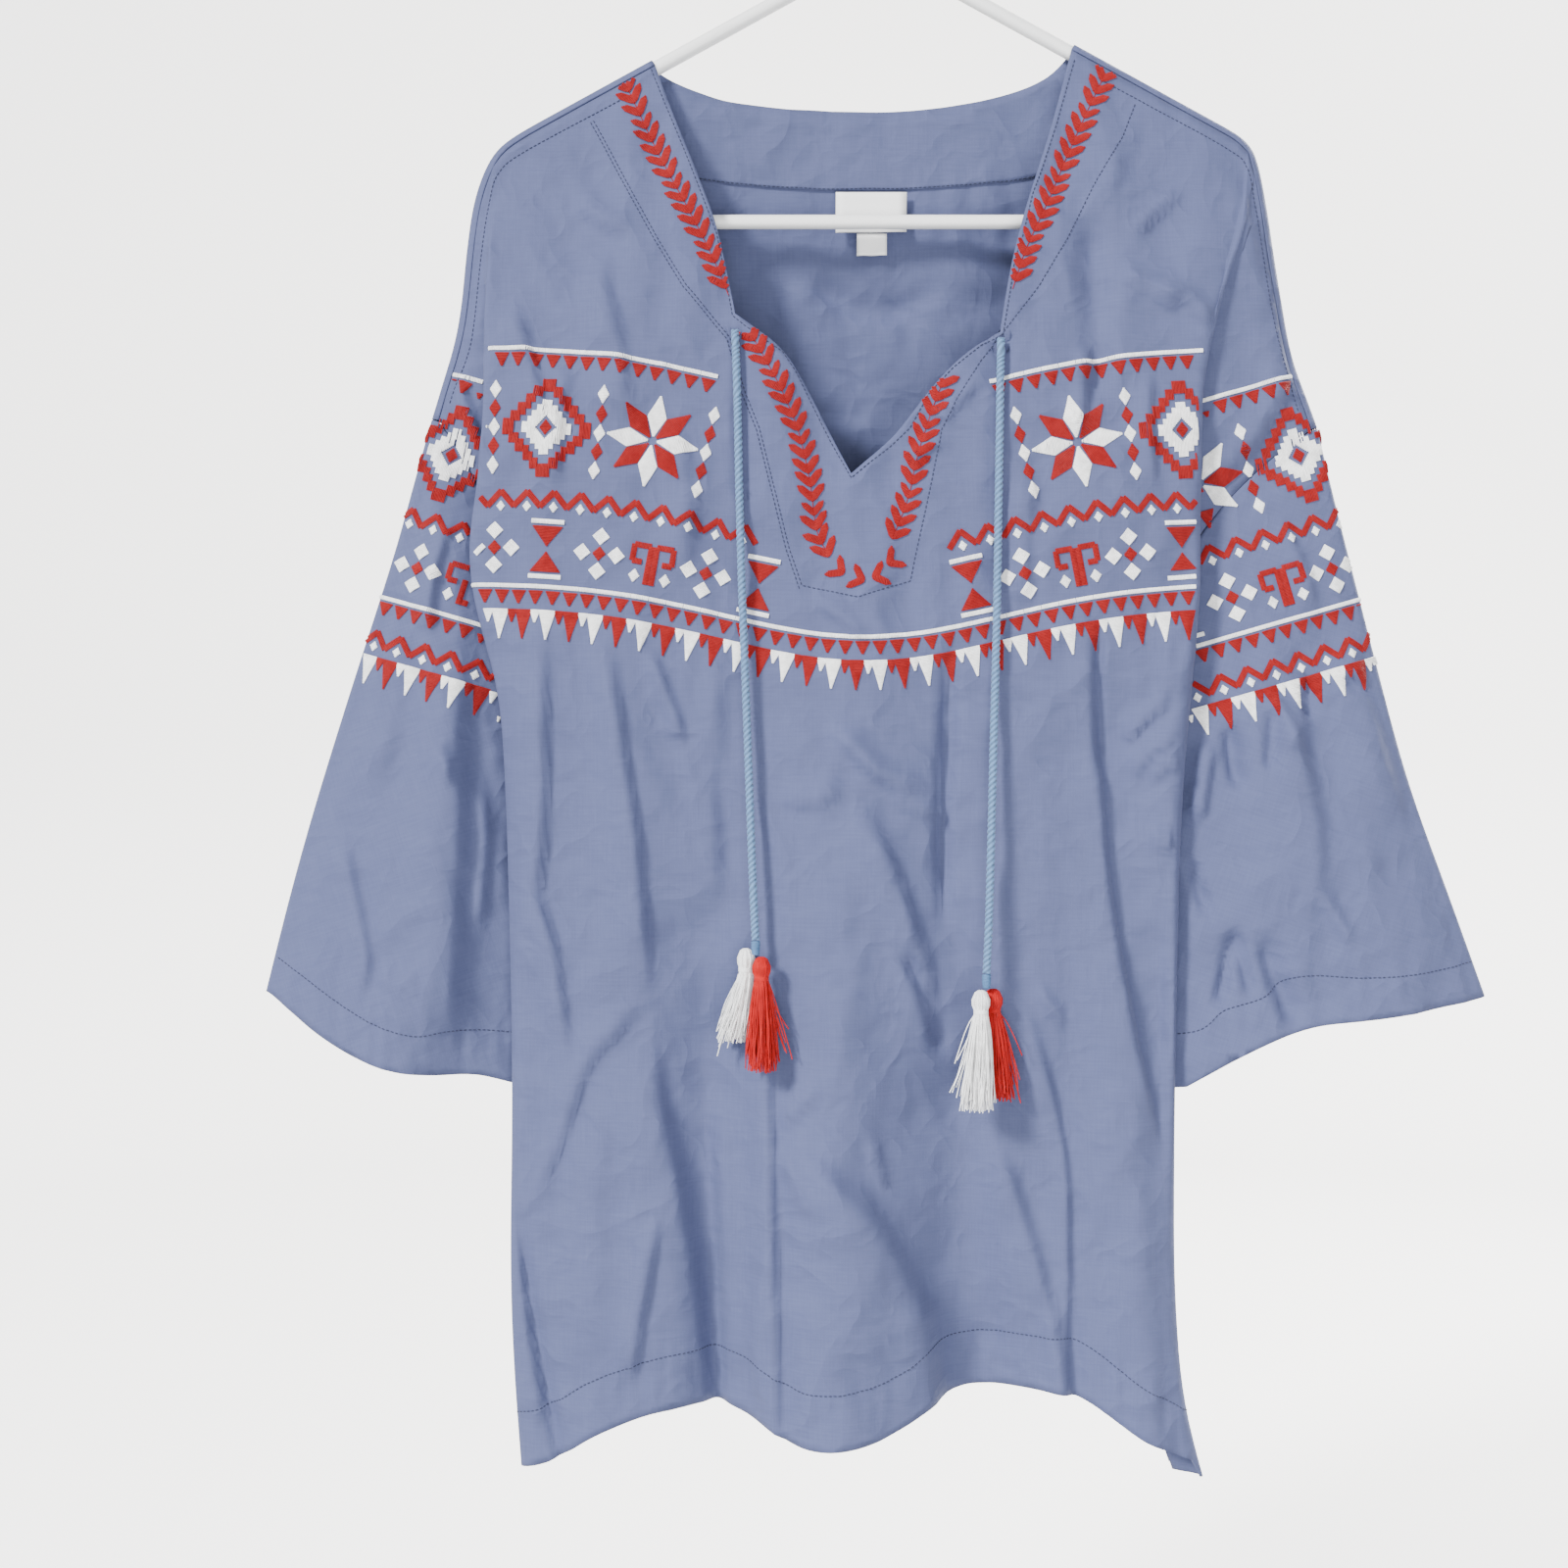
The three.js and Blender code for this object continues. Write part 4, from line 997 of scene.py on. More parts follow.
# Outline of each panel by height, for fading the creases: z and x of its left and right edges.
EDGE_LINES = {
    "body": {
        "low": ([-915, -800, -600, -470, -436, -330, -280, -215, -170],
                [-198, -203, -204, -210, -222, -244, -231, -221, -200]),
        "high": ([-915, -800, -600, -470, -436, -333, -290, -215, -170],
                 [179, 163, 165, 175, 200, 241, 228, 214, 198]),
    },
    "sleeve_left": {
        "low": ([-700, -647, -559, -466, -400, -328], [-340, -338, -315, -286, -264, -244]),
        "high": ([-700, -600, -505, -436, -400, -328], [-185, -186, -191, -202, -214, -240]),
    },
    "sleeve_right": {
        "low": ([-700, -600, -505, -436, -400, -333], [147, 148, 153, 160, 190, 236]),
        "high": ([-700, -650, -581, -477, -400, -333], [338, 336, 311, 278, 258, 241]),
    },
}


def drape(piece, panel, creases, amount, side, hems):
    """Moves a wall's points in depth by the creases and crumples of its side."""
    points = coordinates(piece.data) / MM
    x, y, z = points.T
    sides = np.full(x.shape, side) if side else np.where(y < 0, FRONT, BACK)
    moved = np.zeros_like(x)
    for which in (FRONT, BACK):
        here = sides == which
        if not here.any():
            continue
        a, b = x[here], z[here]
        height = crease_height(a, b, creases[which]) + crumple_height(a, b, which, amount)
        height += pucker_height(a, b, hems)
        moved[here] = which * height * edge_fade(a, b, panel)
    if not side:
        # A sleeve's front and back keep still where they meet at its folded edges.
        moved *= np.clip((np.abs(y) - 2.5) / 6, 0, 1)
    points[:, 1] += moved
    if side == FRONT:
        points[:, 1] = behind_cords(points)
    set_coordinates(piece.data, points * MM)


def behind_cords(points):
    """Keeps the front behind the ties and their tassels."""
    x, y, z = points.T
    kept = y.copy()
    strip, gap = 9, 3.7
    for route in CORD_ROUTE.values():
        line = np.array(smooth_path(route, 5))[::-1]
        cord_x, cord_y = np.interp(z, line[:, 2], line[:, 0]), np.interp(z, line[:, 2], line[:, 1])
        aside = np.abs(x - cord_x)
        near = (aside < strip) & (z > line[0, 2] - 60) & (z < line[-1, 2]) & (y < 0)
        limit = cord_y + gap - 0.4 * np.maximum(aside - 3, 0)
        kept = np.where(near & (kept < limit), limit, kept)
    return kept


# ---------- Finding the cloth's surface ----------

class Surface:
    """The panels as seen from the front or the back, so that threads lie on them."""

    # In millimetres: how closely lines and strands follow the cloth, the jump in depth at which
    # each is cut off, and the shortest strand that is sewn.
    LINE_STEP, LINE_JUMP = 1.2, 4
    STRAND_STEP, STRAND_JUMP, SHORTEST = 2.8, 7, 0.5

    def __init__(self):
        self.trees = {}
        for name, piece in PANELS.items():
            mesh = piece.data
            mesh.calc_loop_triangles()
            faces = [tuple(t.vertices) for t in mesh.loop_triangles]
            self.trees[name] = BVHTree.FromPolygons([v.co.copy() for v in mesh.vertices], faces)

    def at(self, x, z, side=FRONT, only=None):
        """(point, normal) of the first cloth at (x, z) in millimetres, if it is the wanted panel."""
        start = Vector((x * MM, side * 0.3, z * MM))
        best = None
        for name, tree in self.trees.items():
            point, normal, _, far = tree.ray_cast(start, Vector((0, -side, 0)))
            if point is not None and (best is None or far < best[0]):
                best = (far, name, point, normal)
        if best is None or (only and best[1] not in only):
            return None
        _, _, point, normal = best
        if normal.y * side < 0:
            normal = -normal
        return point, normal

    def line(self, points, lift, side=FRONT, only=None, smooth=True):
        """The line laid on the cloth, broken where the cloth is hidden or jumps."""
        flat = [(x, 0, z) for x, z in points]
        path = (smooth_path if smooth else straight_path)(flat, self.LINE_STEP)
        runs, run = [], []
        for p in path:
            found = self.at(p.x, p.z, side, only)
            if found is None:
                run = self.close(runs, run)
                continue
            at = found[0] + found[1] * (lift * MM)
            if run and abs(at.y - run[-1].y) > self.LINE_JUMP * MM:
                run = self.close(runs, run)
            run.append(at)
        self.close(runs, run)
        return runs

    @staticmethod
    def close(runs, run):
        """Ends a run of points: it is kept if it makes a line."""
        if len(run) > 1:
            runs.append(run)
        return []

    def strand(self, a, b, side, only, lift, hump):
        """One strand of satin stitch from a to b, arched over the cloth."""
        far = math.dist(a, b)
        if far < self.SHORTEST:
            return []
        count = max(2, round(far / self.STRAND_STEP))
        points = []
        for i in range(count + 1):
            t = i / count
            found = self.at(a[0] + (b[0] - a[0]) * t, a[1] + (b[1] - a[1]) * t, side, only)
            if found is None:
                if len(points) > 1:
                    break
                points = []
                continue
            raise_by = lift + hump * math.sin(math.pi * t) ** 0.6
            point = found[0] + found[1] * (raise_by * MM)
            if points and abs(point.y - points[-1].y) > self.STRAND_JUMP * MM:
                break
            points.append(point)
        return [points] if len(points) > 1 else []


# ---------- Camera and ties ----------

# Each tie's middle line in millimetres, from the corner of the neck to the tassels.
CORD_ROUTE = {
    "left": [(-79, -27.6, -283), (-78.6, -30.2, -292), (-77.6, -32.5, -320), (-76.5, -34, -372),
             (-75, -35.5, -425), (-73, -37, -478), (-71, -39, -531), (-69, -41.5, -584),
             (-67.5, -43.5, -615)],
    "right": [(66.5, -27.8, -287.5), (66, -30.4, -297), (65, -33, -347), (64, -34.5, -404),
              (63, -36, -452), (61.5, -37.5, -504), (60, -39.5, -557), (58.5, -41.5, -604),
              (57, -43, -633)],
}
# Each tassel's top from the cord's end, the way that its skirt leans, and the skirt's length.
TASSELS = {
    "left": {
        "red": ((3.2, -2.5, -8.7), (0.2, -1.2), 47),
        "white": ((-5.4, 5.2, -4.7), (-7.5, 1.6), 36),
    },
    "right": {
        "red": ((4.2, 5.2, -8.7), (3.4, 1.6), 46),
        "white": ((-3.2, -2.5, -8.7), (-1.6, -1.0), 50),
    },
}
# The height of a tassel's head, and how many threads have slipped out of its skirt.
HEAD = 15
STRAYS = 9


def round_point(centre, angle, reach, down, dx=0.0, dy=0.0):
    """A point round an upright line through the centre, and so far below it."""
    x, y, z = centre
    return Vector((x + reach * math.cos(angle) + dx, y + reach * math.sin(angle) + dy, z - down)) * MM


class TUNIC_OT_camera(Operator):
    """Set the camera level, straight in front of the tunic"""

    bl_idname = "tunic.camera"
    bl_label = "Camera"

    def execute(self, context):
        data = bpy.data.cameras.new("camera")
        data.sensor_width = 36
        data.lens = data.sensor_width / 2 / HALF_VIEW
        camera = linked("camera", data)
        camera.location = CAMERA_PLACE
        camera.rotation_euler = (math.radians(90), 0, 0)
        context.scene.camera = camera
        return {"FINISHED"}


class TUNIC_OT_ties(Operator):
    """Twist the two ties and whip their ends"""

    bl_idname = "tunic.ties"
    bl_label = "Ties"

    def execute(self, context):
        settings = context.scene.tunic_tie
        for side, route in CORD_ROUTE.items():
            tassels = [self.tassel(settings, side, name) for name in TASSELS[side]]
            whipping = self.whipping(side, route[-1])
            self.cord(settings, side, route, [whipping, *tassels])
        return {"FINISHED"}

    def cord(self, settings, side, route, ends):
        """A tube whose section has one lobe for each ply and turns along the cord."""
        path = smooth_path([Vector(p) * MM for p in route], 0.9 * MM)
        run = sum((b - a).length for a, b in zip(path, path[1:]))
        plies, half = settings.plies, settings.diameter / 2
        turns = run / settings.turn

        def radius_at(share, angle):
            lobe = abs(math.cos(plies / 2 * (angle - 2 * math.pi * turns * share)))
            return half * (0.60 + 0.42 * lobe**0.7)

        sides = 24
        vertices, faces = tube(path, radius_at, sides)
        mesh = mesh_from(f"cord_{side}_twisted", vertices, faces)
        layer = mesh.uv_layers.new(name="lay")
        for loop in mesh.loops:
            ring, k = divmod(loop.vertex_index, sides)
            share = ring / (len(path) - 1)
            layer.data[loop.index].uv = (k / sides - turns * share, share * run)
        piece = new_object(mesh.name, mesh, "cord")
        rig.ride(piece, "root")
        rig.slot(piece, "cord")
        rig.replaces(piece, f"cord_{side}")
        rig.cord(piece, exit=tuple(path[0]), length=run, diameter=settings.diameter, far_end="knot",
                stiffness="limp", lay="hanging", path=[tuple(p) for p in path[::4]] + [tuple(path[-1])],
                with_pieces=ends)

    def whipping(self, side, end):
        """Turns of thread round the end of the cord."""
        x, y, z = end
        line = []
        turns, steps = 9, 14
        for i in range(turns * steps + 1):
            angle = 2 * math.pi * i / steps
            down = i / (turns * steps)
            reach = 2.0 - 0.4 * down**3
            line.append(round_point(end, angle, reach, 0.7 + 7 * down))
        name = f"whipping_{side}"
        piece = along_lines(name, [line], strand_tree(), "whipping", "cord",
                            Thickness=0.95 * MM, Sides=6)
        core = tube([Vector((x, y, z - down)) * MM for down in (0.4, 4, 8)], lambda s, a: 1.8 * MM, 12)
        self.join(piece, new_object(f"whipping_core_{side}", mesh_from("core", *core), "whipping"))
        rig.replaces(piece, f"binding_{side}")
        return piece

    def join(self, piece, *others):
        with bpy.context.temp_override(active_object=piece, selected_editable_objects=[piece, *others]):
            bpy.ops.object.join()

    def tassel(self, settings, side, name):
        """Threads that bulge over a round head, are tied at the neck and hang loose."""
        rng = np.random.default_rng(SEED + len(side) * 3 + len(name))
        offset, (lean_x, lean_y), skirt = TASSELS[side][name]
        top = Vector(CORD_ROUTE[side][-1]) + Vector(offset)
        lines = []
        for i in range(settings.threads):
            angle = 2 * math.pi * rng.random()
            layer = math.sqrt(rng.random())
            spread = 1.2 + 0.95 * rng.random()
            long = skirt - 10 * rng.random() ** 1.6 - (5 * rng.random() if layer > 0.9 else 0)
            wave, phase = 0.5 + 0.9 * rng.random(), 6.3 * rng.random()
            outer = 4.9 * (0.35 + 0.65 * layer)
            stations = [(0.3, 0.3), (0.66, 1.4), (1.0, 5.2), (0.98, 8.0), (0.70, 11.4), (0.86, HEAD)]
            line = [round_point(top, angle, outer * r, down) for r, down in stations]
            for k in range(1, 8):
                t = k / 7
                reach = outer * (0.86 + (spread - 0.86) * t**0.75)
                sway = (lean_x + wave * math.sin(phase + 5 * t), lean_y + wave * math.cos(phase + 4 * t))
                line.append(round_point(top, angle, reach, HEAD + long * t, sway[0] * t, sway[1] * t))
            lines.append(line)
        lines += [self.stray(rng, top, name) for _ in range(STRAYS)]
        turns, steps = 5, 16
        wraps = [round_point(top, 2 * math.pi * i / steps, 3.7, 10.4 + 2.2 * i / (turns * steps))
                 for i in range(turns * steps + 1)]
        label = f"tassel_{side}_{name}"
        piece = along_lines(label + "_threads", lines, strand_tree(), f"tassel_{name}", f"{name}_thread",
                            Thickness=settings.loose, Sides=4)
        bind = along_lines(label + "_wrap", [wraps], strand_tree(), f"tassel_{name}", f"{name}_thread",
                           Thickness=0.75 * MM, Sides=6)
        core = {0.8: 1.2, 2: 3.3, 5: 4.7, 8: 4.5, 11.4: 3.3, HEAD: 3.5}
        sizes = list(core.values())
        filler = tube([Vector((top.x, top.y, top.z - down)) * MM for down in core],
                      lambda s, a: sizes[round(s * (len(core) - 1))] * MM, 12)
        solid = new_object(label + "_core", mesh_from("core", *filler), f"tassel_{name}")
        self.join(piece, bind, solid)
        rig.replaces(piece, label)
        return piece

    def stray(self, rng, top, name):
        """A loose thread that has slipped out of the skirt."""
        away = 1 if name == "red" else -1
        reach = 4 + 9 * rng.random()
        long = 20 + 28 * rng.random()
        bend = rng.random()
        line = []
        for k in range(9):
            t = k / 8
            out = away * (4 + reach * t ** (0.7 + bend))
            aside = (rng.random() - 0.5) * 2 * t
            line.append(Vector((top.x + out, top.y + aside, top.z - 14 - long * t)) * MM)
        return line


# ---------- The hanger ----------

class TUNIC_OT_hanger(Operator):
    """Bend the hanger's frame and hook from round tube"""

    bl_idname = "tunic.hanger"
    bl_label = "Hanger"

    def execute(self, context):
        radius = context.scene.tunic_hanger.tube / 2
        slope, up = ARM_SLOPE, math.pi / 2
        # In millimetres: the bar's height, and the radii at the bar's ends and under the hook.
        bar, bend, crown = -216, 24.5, 30
        room = FRAME_TOP - bar - bend * (1 + 1 / math.cos(slope))
        centre = room / math.tan(slope)
        path = []

        def arc(x, z, size, start, end, steps):
            for i in range(steps + 1):
                angle = start + (end - start) * i / steps
                path.append((x + size * math.cos(angle), 0, z + size * math.sin(angle)))

        arc(0, FRAME_TOP - crown / math.cos(slope), crown, up - slope, up + slope, 10)
        arc(-centre, bar + bend, bend, up + slope, 3 * up, 28)
        arc(centre, bar + bend, bend, -up, up - slope, 28)
        loop = straight_path([Vector(p) * MM for p in [*path, path[0]]], 6 * MM)[:-1]
        hook = [Vector((0, 0, -70)), Vector((0, 0, -60)), Vector((1, 0, -48))]
        round_hook, shank, tip, steps = 22, -52, 205, 48
        for i in range(steps + 1):
            angle = math.radians(shank + (tip - shank) * i / steps)
            hook.append(Vector((round_hook * math.cos(angle), 0, round_hook * math.sin(angle) - 18)))
        hook = smooth_path([p * MM for p in hook], 2.5 * MM)

        def rounded(share, angle):
            end = min(1, (1 - share) * 55)
            return radius * math.sqrt(max(0.02, 1 - (1 - end) ** 2))

        bent = {
            "hanger_frame": tube(loop, lambda share, angle: radius, 24, closed=True),
            "hanger_hook": tube(hook, rounded, 24),
        }
        for name, shape in bent.items():
            piece = new_object(name, outward(mesh_from(name, *shape)), "plastic")
            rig.ride(piece, "root")
            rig.slot(piece, "hanger")
            if name == "hanger_frame":
                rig.replaces(piece, "hanger")
        return {"FINISHED"}


# ---------- The cloth ----------

class TUNIC_OT_panels(Operator):
    """Drape the front, back, sleeves and facings"""

    bl_idname = "tunic.panels"
    bl_label = "Panels"

    def execute(self, context):
        # Without a set seed the crumples would differ from run to run.
        noise.seed_set(SEED)
        amount = context.scene.tunic_cloth.crumple / MM
        hems = {f"sleeve_{side}": [line] for side, line in SLEEVE_HEM.items()}
        hems["body"] = [raised(FRONT_HEM)]
        turned = {"sleeve_left": -0.3, "sleeve_right": 0.3}
        # Node, outline, creases, side (a sleeve has both), levels of smoothing, longest edge in
        # millimetres, flat size in millimetres and flat area in square metres.
        cuts = [
            ("front", "body", CREASES, FRONT, 2, 5.2, (560, 800), 0.345),
            ("back", "body", CREASES, BACK, 2, 7.5, (560, 800), 0.36),
            ("facing_front", "body", CREASES, FRONT, 2, 9, (205, 300), 0.0185),
            ("facing_back", "body", CREASES, BACK, 2, 9, (300, 70), 0.0125),
            ("sleeve_left", "sleeve_left", SLEEVE_CREASES["left"], None, 3, 9, (330, 430), 0.078),
            ("sleeve_right", "sleeve_right", SLEEVE_CREASES["right"], None, 3, 9, (330, 430), 0.092),
        ]
        for node, outline, creases, side, levels, longest, flat, area in cuts:
            piece = wall_copy(node, levels, longest * MM)
            drape(piece, outline, creases, amount, side, hems[outline])
            if node == "facing_back":
                self.press(piece, 0.9)
            grain_map(piece.data, turned.get(node, 0))
            piece.data.shade_smooth()
            piece.data.set_sharp_from_angle(angle=math.radians(58))
            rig.ride(piece, "root")
            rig.slot(piece, "facing" if node.startswith("facing") else "cloth")
            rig.replaces(piece, node)
            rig.sheet(piece, flat=(flat[0] * MM, flat[1] * MM), held="hung", rests_on=["hanger"],
                     area=area)
            PANELS[node] = piece
        return {"FINISHED"}

    def press(self, piece, depth):
        """Sets a facing back against its panel."""
        points = coordinates(piece.data)
        points[:, 1] += depth * MM
        set_coordinates(piece.data, points)


class TUNIC_OT_label(Operator):
    """Sew the bare label and the size tab inside the back of the neck"""

    bl_idname = "tunic.label"
    bl_label = "Label"

    def execute(self, context):
        for node in ("label", "size_tab"):
            piece = wall_copy(node, 3, math.inf)
            points = coordinates(piece.data)
            low, high = points.min(0), points.max(0)
            across = (points[:, 0] - low[0]) / (high[0] - low[0])
            down = (high[2] - points[:, 2]) / (high[2] - low[2])
            points[:, 1] -= (0.0016 * down**2 * (0.4 + across) + 0.0005 * np.sin(across * 9) * down)
            set_coordinates(piece.data, points)
            grain_map(piece.data)
            piece.data.materials.clear()
            piece.data.materials.append(finish_of("label"))
            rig.ride(piece, "root")
            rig.slot(piece, "label")
            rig.replaces(piece, node)
            wide, _, tall = (high - low).tolist()
            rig.sheet(piece, flat=(wide, tall), held="stretched", rests_on=["back"])
        return {"FINISHED"}


# ---------- Machine stitching ----------

# Lines of places (x, z) in millimetres. The hems of the body are given by their lower edges.
FRONT_HEM = [(-199, -907), (-181, -902), (-159, -888), (-132, -877), (-107, -871), (-77, -872),
             (-52, -884), (-36, -888), (-5, -885), (15, -877), (30, -868), (52, -864), (85, -864),
             (112, -868), (143, -890), (159, -899), (176, -910)]
BACK_HEM = [(-190, -900), (-165, -884), (-120, -873), (-60, -870), (0, -870), (60, -868),
            (110, -872), (150, -890), (170, -903)]
FACING_EDGE = [(-158, -162), (-153, -171), (-138, -200), (-122, -230), (-106, -257), (-82, -286),
               (-73.7, -316), (-65.6, -337), (-57.5, -370), (-49.5, -402), (-42.5, -422.5),
               (-12, -429), (16.7, -420), (20.4, -402), (27.4, -370), (34, -337), (42, -321),
               (55, -300), (66, -286), (88, -257), (104, -230), (120, -198), (136, -171),
               (143, -153)]
NECK_EDGE = [(-126, -133), (-119, -151), (-108, -178), (-97.5, -205.5), (-89.5, -227), (-84, -254),
             (-80.5, -274), (-73.6, -280), (-53, -294.8), (-45.5, -306), (-37.5, -322),
             (-26.5, -344), (-15.6, -364), (-5.5, -355.5), (5.5, -347), (16.5, -336.5),
             (27, -317.5), (40, -303.5), (55.5, -291), (67.5, -285), (71.8, -260), (74.4, -243),
             (79.8, -227), (85, -205), (91, -189), (99, -165), (109.5, -128)]
BACK_FACING_EDGE = [(-140, -171), (-124, -181), (-108, -187), (-75, -191.5), (-41, -193.6),
                    (-7, -194.2), (26, -193.6), (59, -191.4), (90, -187), (110, -179), (126, -167)]
SLEEVE_HEM = {
    "left": [(-334, -628), (-318.6, -637.8), (-295.9, -652.9), (-276.4, -663.2), (-254.8, -669.1),
             (-237, -667), (-215.4, -667.5), (-190, -671)],
    "right": [(331, -630), (314.8, -633.5), (292.6, -636.7), (266.7, -637.8), (240.2, -636.7),
              (225.1, -639.4), (211.6, -649.1), (191, -656.2), (177, -667.5), (150, -671)],
}
SHOULDER_STITCH = {
    "left": [(-140, -148), (-196, -178), (-211, -190), (-216, -206), (-221, -240), (-226, -284),
             (-238, -318)],
    "right": [(125, -139), (150.5, -152.5), (195, -177), (205.6, -187), (210, -208), (215, -240),
              (222, -280), (234, -322)],
}


def raised(hem):
    """The line of a hem's stitches, from its edge."""
    return [(x, z + HEM_DEPTH) for x, z in hem]


class TUNIC_OT_stitching(Operator):
    """Run the machine stitches along hems, facings and seams"""

    bl_idname = "tunic.stitching"
    bl_label = "Stitching"

    def execute(self, context):
        threads = context.scene.tunic_thread
        cloth = Surface()
        second_row = [(x - 1.6, z - 1) for x, z in FACING_EDGE[:11]]
        # For each piece: the lines, the side that they show on, the panel, and whether they curve.
        seams = {
            "hem": [(raised(FRONT_HEM), FRONT, "front", True), (raised(BACK_HEM), BACK, "back", True)],
            "cuff": [(line, facing, f"sleeve_{side}", True)
                     for side, line in SLEEVE_HEM.items() for facing in (FRONT, BACK)],
            "facing": [(FACING_EDGE, FRONT, "front", False), (second_row, FRONT, "front", False),
                       (BACK_FACING_EDGE, FRONT, "facing_back", True),
                       (BACK_FACING_EDGE, BACK, "back", True)],
            "neck": [(NECK_EDGE, FRONT, "front", False)],
            "shoulder": [(line, FRONT, "front", True) for line in SHOULDER_STITCH.values()],
        }
        for name, lines in seams.items():
            runs = [run for line, facing, panel, curved in lines
                    for run in cloth.line(line, STITCH_LIFT, facing, {panel}, curved)]
            along_lines(f"stitches_{name}", runs, stitch_tree(), "sewing", "cloth",
                        Pitch=threads.stitch, Thickness=0.72 * MM, Share=0.8)
        return {"FINISHED"}


# ---------- Embroidery ----------

NECK_BORDER = {
    "left": [(-140.6, -140.3), (-130.8, -162), (-117.2, -190.2), (-103.1, -217.3), (-91.7, -240.7),
             (-82, -264)],
    "right": [(126.8, -135), (120.3, -148.5), (107.8, -175.6), (93.2, -209.7), (80.7, -236.9),
              (72.6, -261)],
    "bib_left": [(-70.9, -284), (-61.8, -300), (-52.2, -318.9), (-44.1, -339.3), (-38.3, -365),
                 (-34.5, -391.8), (-28, -406)],
    "bib_right": [(35, -310), (29.5, -324), (24.4, -339.3), (19.6, -355.4), (16.4, -371.4),
                  (11, -387), (5, -400)],
}
# The chevrons that close the border under the slit: x, z and turn.
BORDER_END = [(-20, -416, 0.9), (-9, -420, 1.2), (-3.5, -418.5, -1.2), (4.5, -411, -0.9)]
# How high a strand of satin stitch lies on the cloth, and how much higher its middle arches.
CHEVRON_LIFT = (0.28, 0.55)
BAND_LIFT = (0.22, 0.48)


def satin(loops, angle, pitch):
    """Strands that fill the space between outlines, side by side across the given direction."""
    c, s = math.cos(angle), math.sin(angle)
    turned = [[(x * c + z * s, -x * s + z * c) for x, z in loop] for loop in loops]
    heights = [p[1] for loop in turned for p in loop]
    low, high = min(heights), max(heights)
    count = max(1, round((high - low) / pitch))
    found = []
    for i in range(count):
        level = low + (high - low) * (i + 0.5) / count
        cuts = []
        for loop in turned:
            for (x0, z0), (x1, z1) in zip(loop, loop[1:] + loop[:1]):
                if (z0 > level) != (z1 > level):
                    cuts.append(x0 + (x1 - x0) * (level - z0) / (z1 - z0))
        cuts.sort()
        for start, end in zip(cuts[::2], cuts[1::2]):
            found.append(((start * c - level * s, start * s + level * c),
                          (end * c - level * s, end * s + level * c)))
    return found


def placed(polygon, x, z, turn=0.0, size=1.0):
    """An outline turned, sized and moved to (x, z)."""
    c, s = math.cos(turn) * size, math.sin(turn) * size
    return [(x + px * c - pz * s, z + px * s + pz * c) for px, pz in polygon]


class TUNIC_OT_neck_border(Operator):
    """Embroider the red chevrons along the neck"""

    bl_idname = "tunic.neck_border"
    bl_label = "Neck border"

    # The distance from one chevron to the next, and the outline of a chevron's right arm.
    PITCH = 7.9
    ARM = [(-0.5, -1.3), (2.4, 0.2), (6.9, 5.2), (7.4, 8.3), (4.2, 7.9), (-0.5, 3.4)]

    def execute(self, context):
        threads = context.scene.tunic_thread
        cloth = Surface()
        pitch = threads.pitch / MM
        strands, links = [], []
        for line in NECK_BORDER.values():
            path = smooth_path([(x, 0, z) for x, z in line], 0.5)
            for i, (at, along) in enumerate(self.spaced(path)):
                turn = math.atan2(along.z, along.x) + math.pi / 2
                size = 0.8 if i % 5 == 3 else 1.0
                strands += self.chevron(cloth, at, turn, size, pitch)
            links += cloth.line([(p.x, p.z) for p in path[::8]], 0.15, FRONT, {"front"})
        for x, z, turn in BORDER_END:
            strands += self.chevron(cloth, Vector((x, 0, z)), turn, 0.9, pitch)
        along_lines("neck_chevrons", strands, strand_tree(), "red", "red_thread",
                    Thickness=threads.strand, Sides=5)
        along_lines("neck_running_thread", links, strand_tree(), "red", "red_thread",
                    Thickness=0.5 * MM, Sides=5)
        return {"FINISHED"}

    def spaced(self, path):
        """Places a pitch apart on the path, with its direction there."""
        found, run, due = [], 0, self.PITCH / 2
        for a, b in zip(path, path[1:]):
            run += (b - a).length
            if run >= due:
                found.append((b, (b - a).normalized()))
                due += self.PITCH
        return found

    def chevron(self, cloth, at, turn, size, pitch):
        """The satin stitches of one chevron's two arms."""
        found = []
        for mirror in (1, -1):
            arm = placed([(x * mirror, z) for x, z in self.ARM], at.x, at.z, turn, size)
            angle = turn + mirror * math.radians(-35)
            for a, b in satin([arm], angle, pitch):
                found += cloth.strand(a, b, FRONT, {"front"}, *CHEVRON_LIFT)
        return found


class TUNIC_OT_chest_band(Operator):
    """Embroider the red and white band over the chest and sleeves"""

    bl_idname = "tunic.chest_band"
    bl_label = "Chest band"

    def execute(self, context):
        threads = context.scene.tunic_thread
        cloth = Surface()
        parts = {
            "chest": [("chest", FRONT, {"front"})],
            "sleeves": [(side, facing, {f"sleeve_{side}", body}) for side in ("left", "right")
                        for facing, body in ((FRONT, "front"), (BACK, "back"))],
        }
        for part, fields in parts.items():
            strands = {"red": [], "white": []}
            for field, facing, panels in fields:
                for tint, loops, angle in band(field):
                    for a, b in satin(loops, angle, threads.pitch / MM):
                        if in_field(field, a) and in_field(field, b):
                            strands[tint] += cloth.strand(a, b, facing, panels, *BAND_LIFT)
            for tint, lines in strands.items():
                along_lines(f"band_{part}_{tint}", lines, strand_tree(), tint, f"{tint}_thread",
                            Thickness=threads.strand, Sides=4)
        return {"FINISHED"}


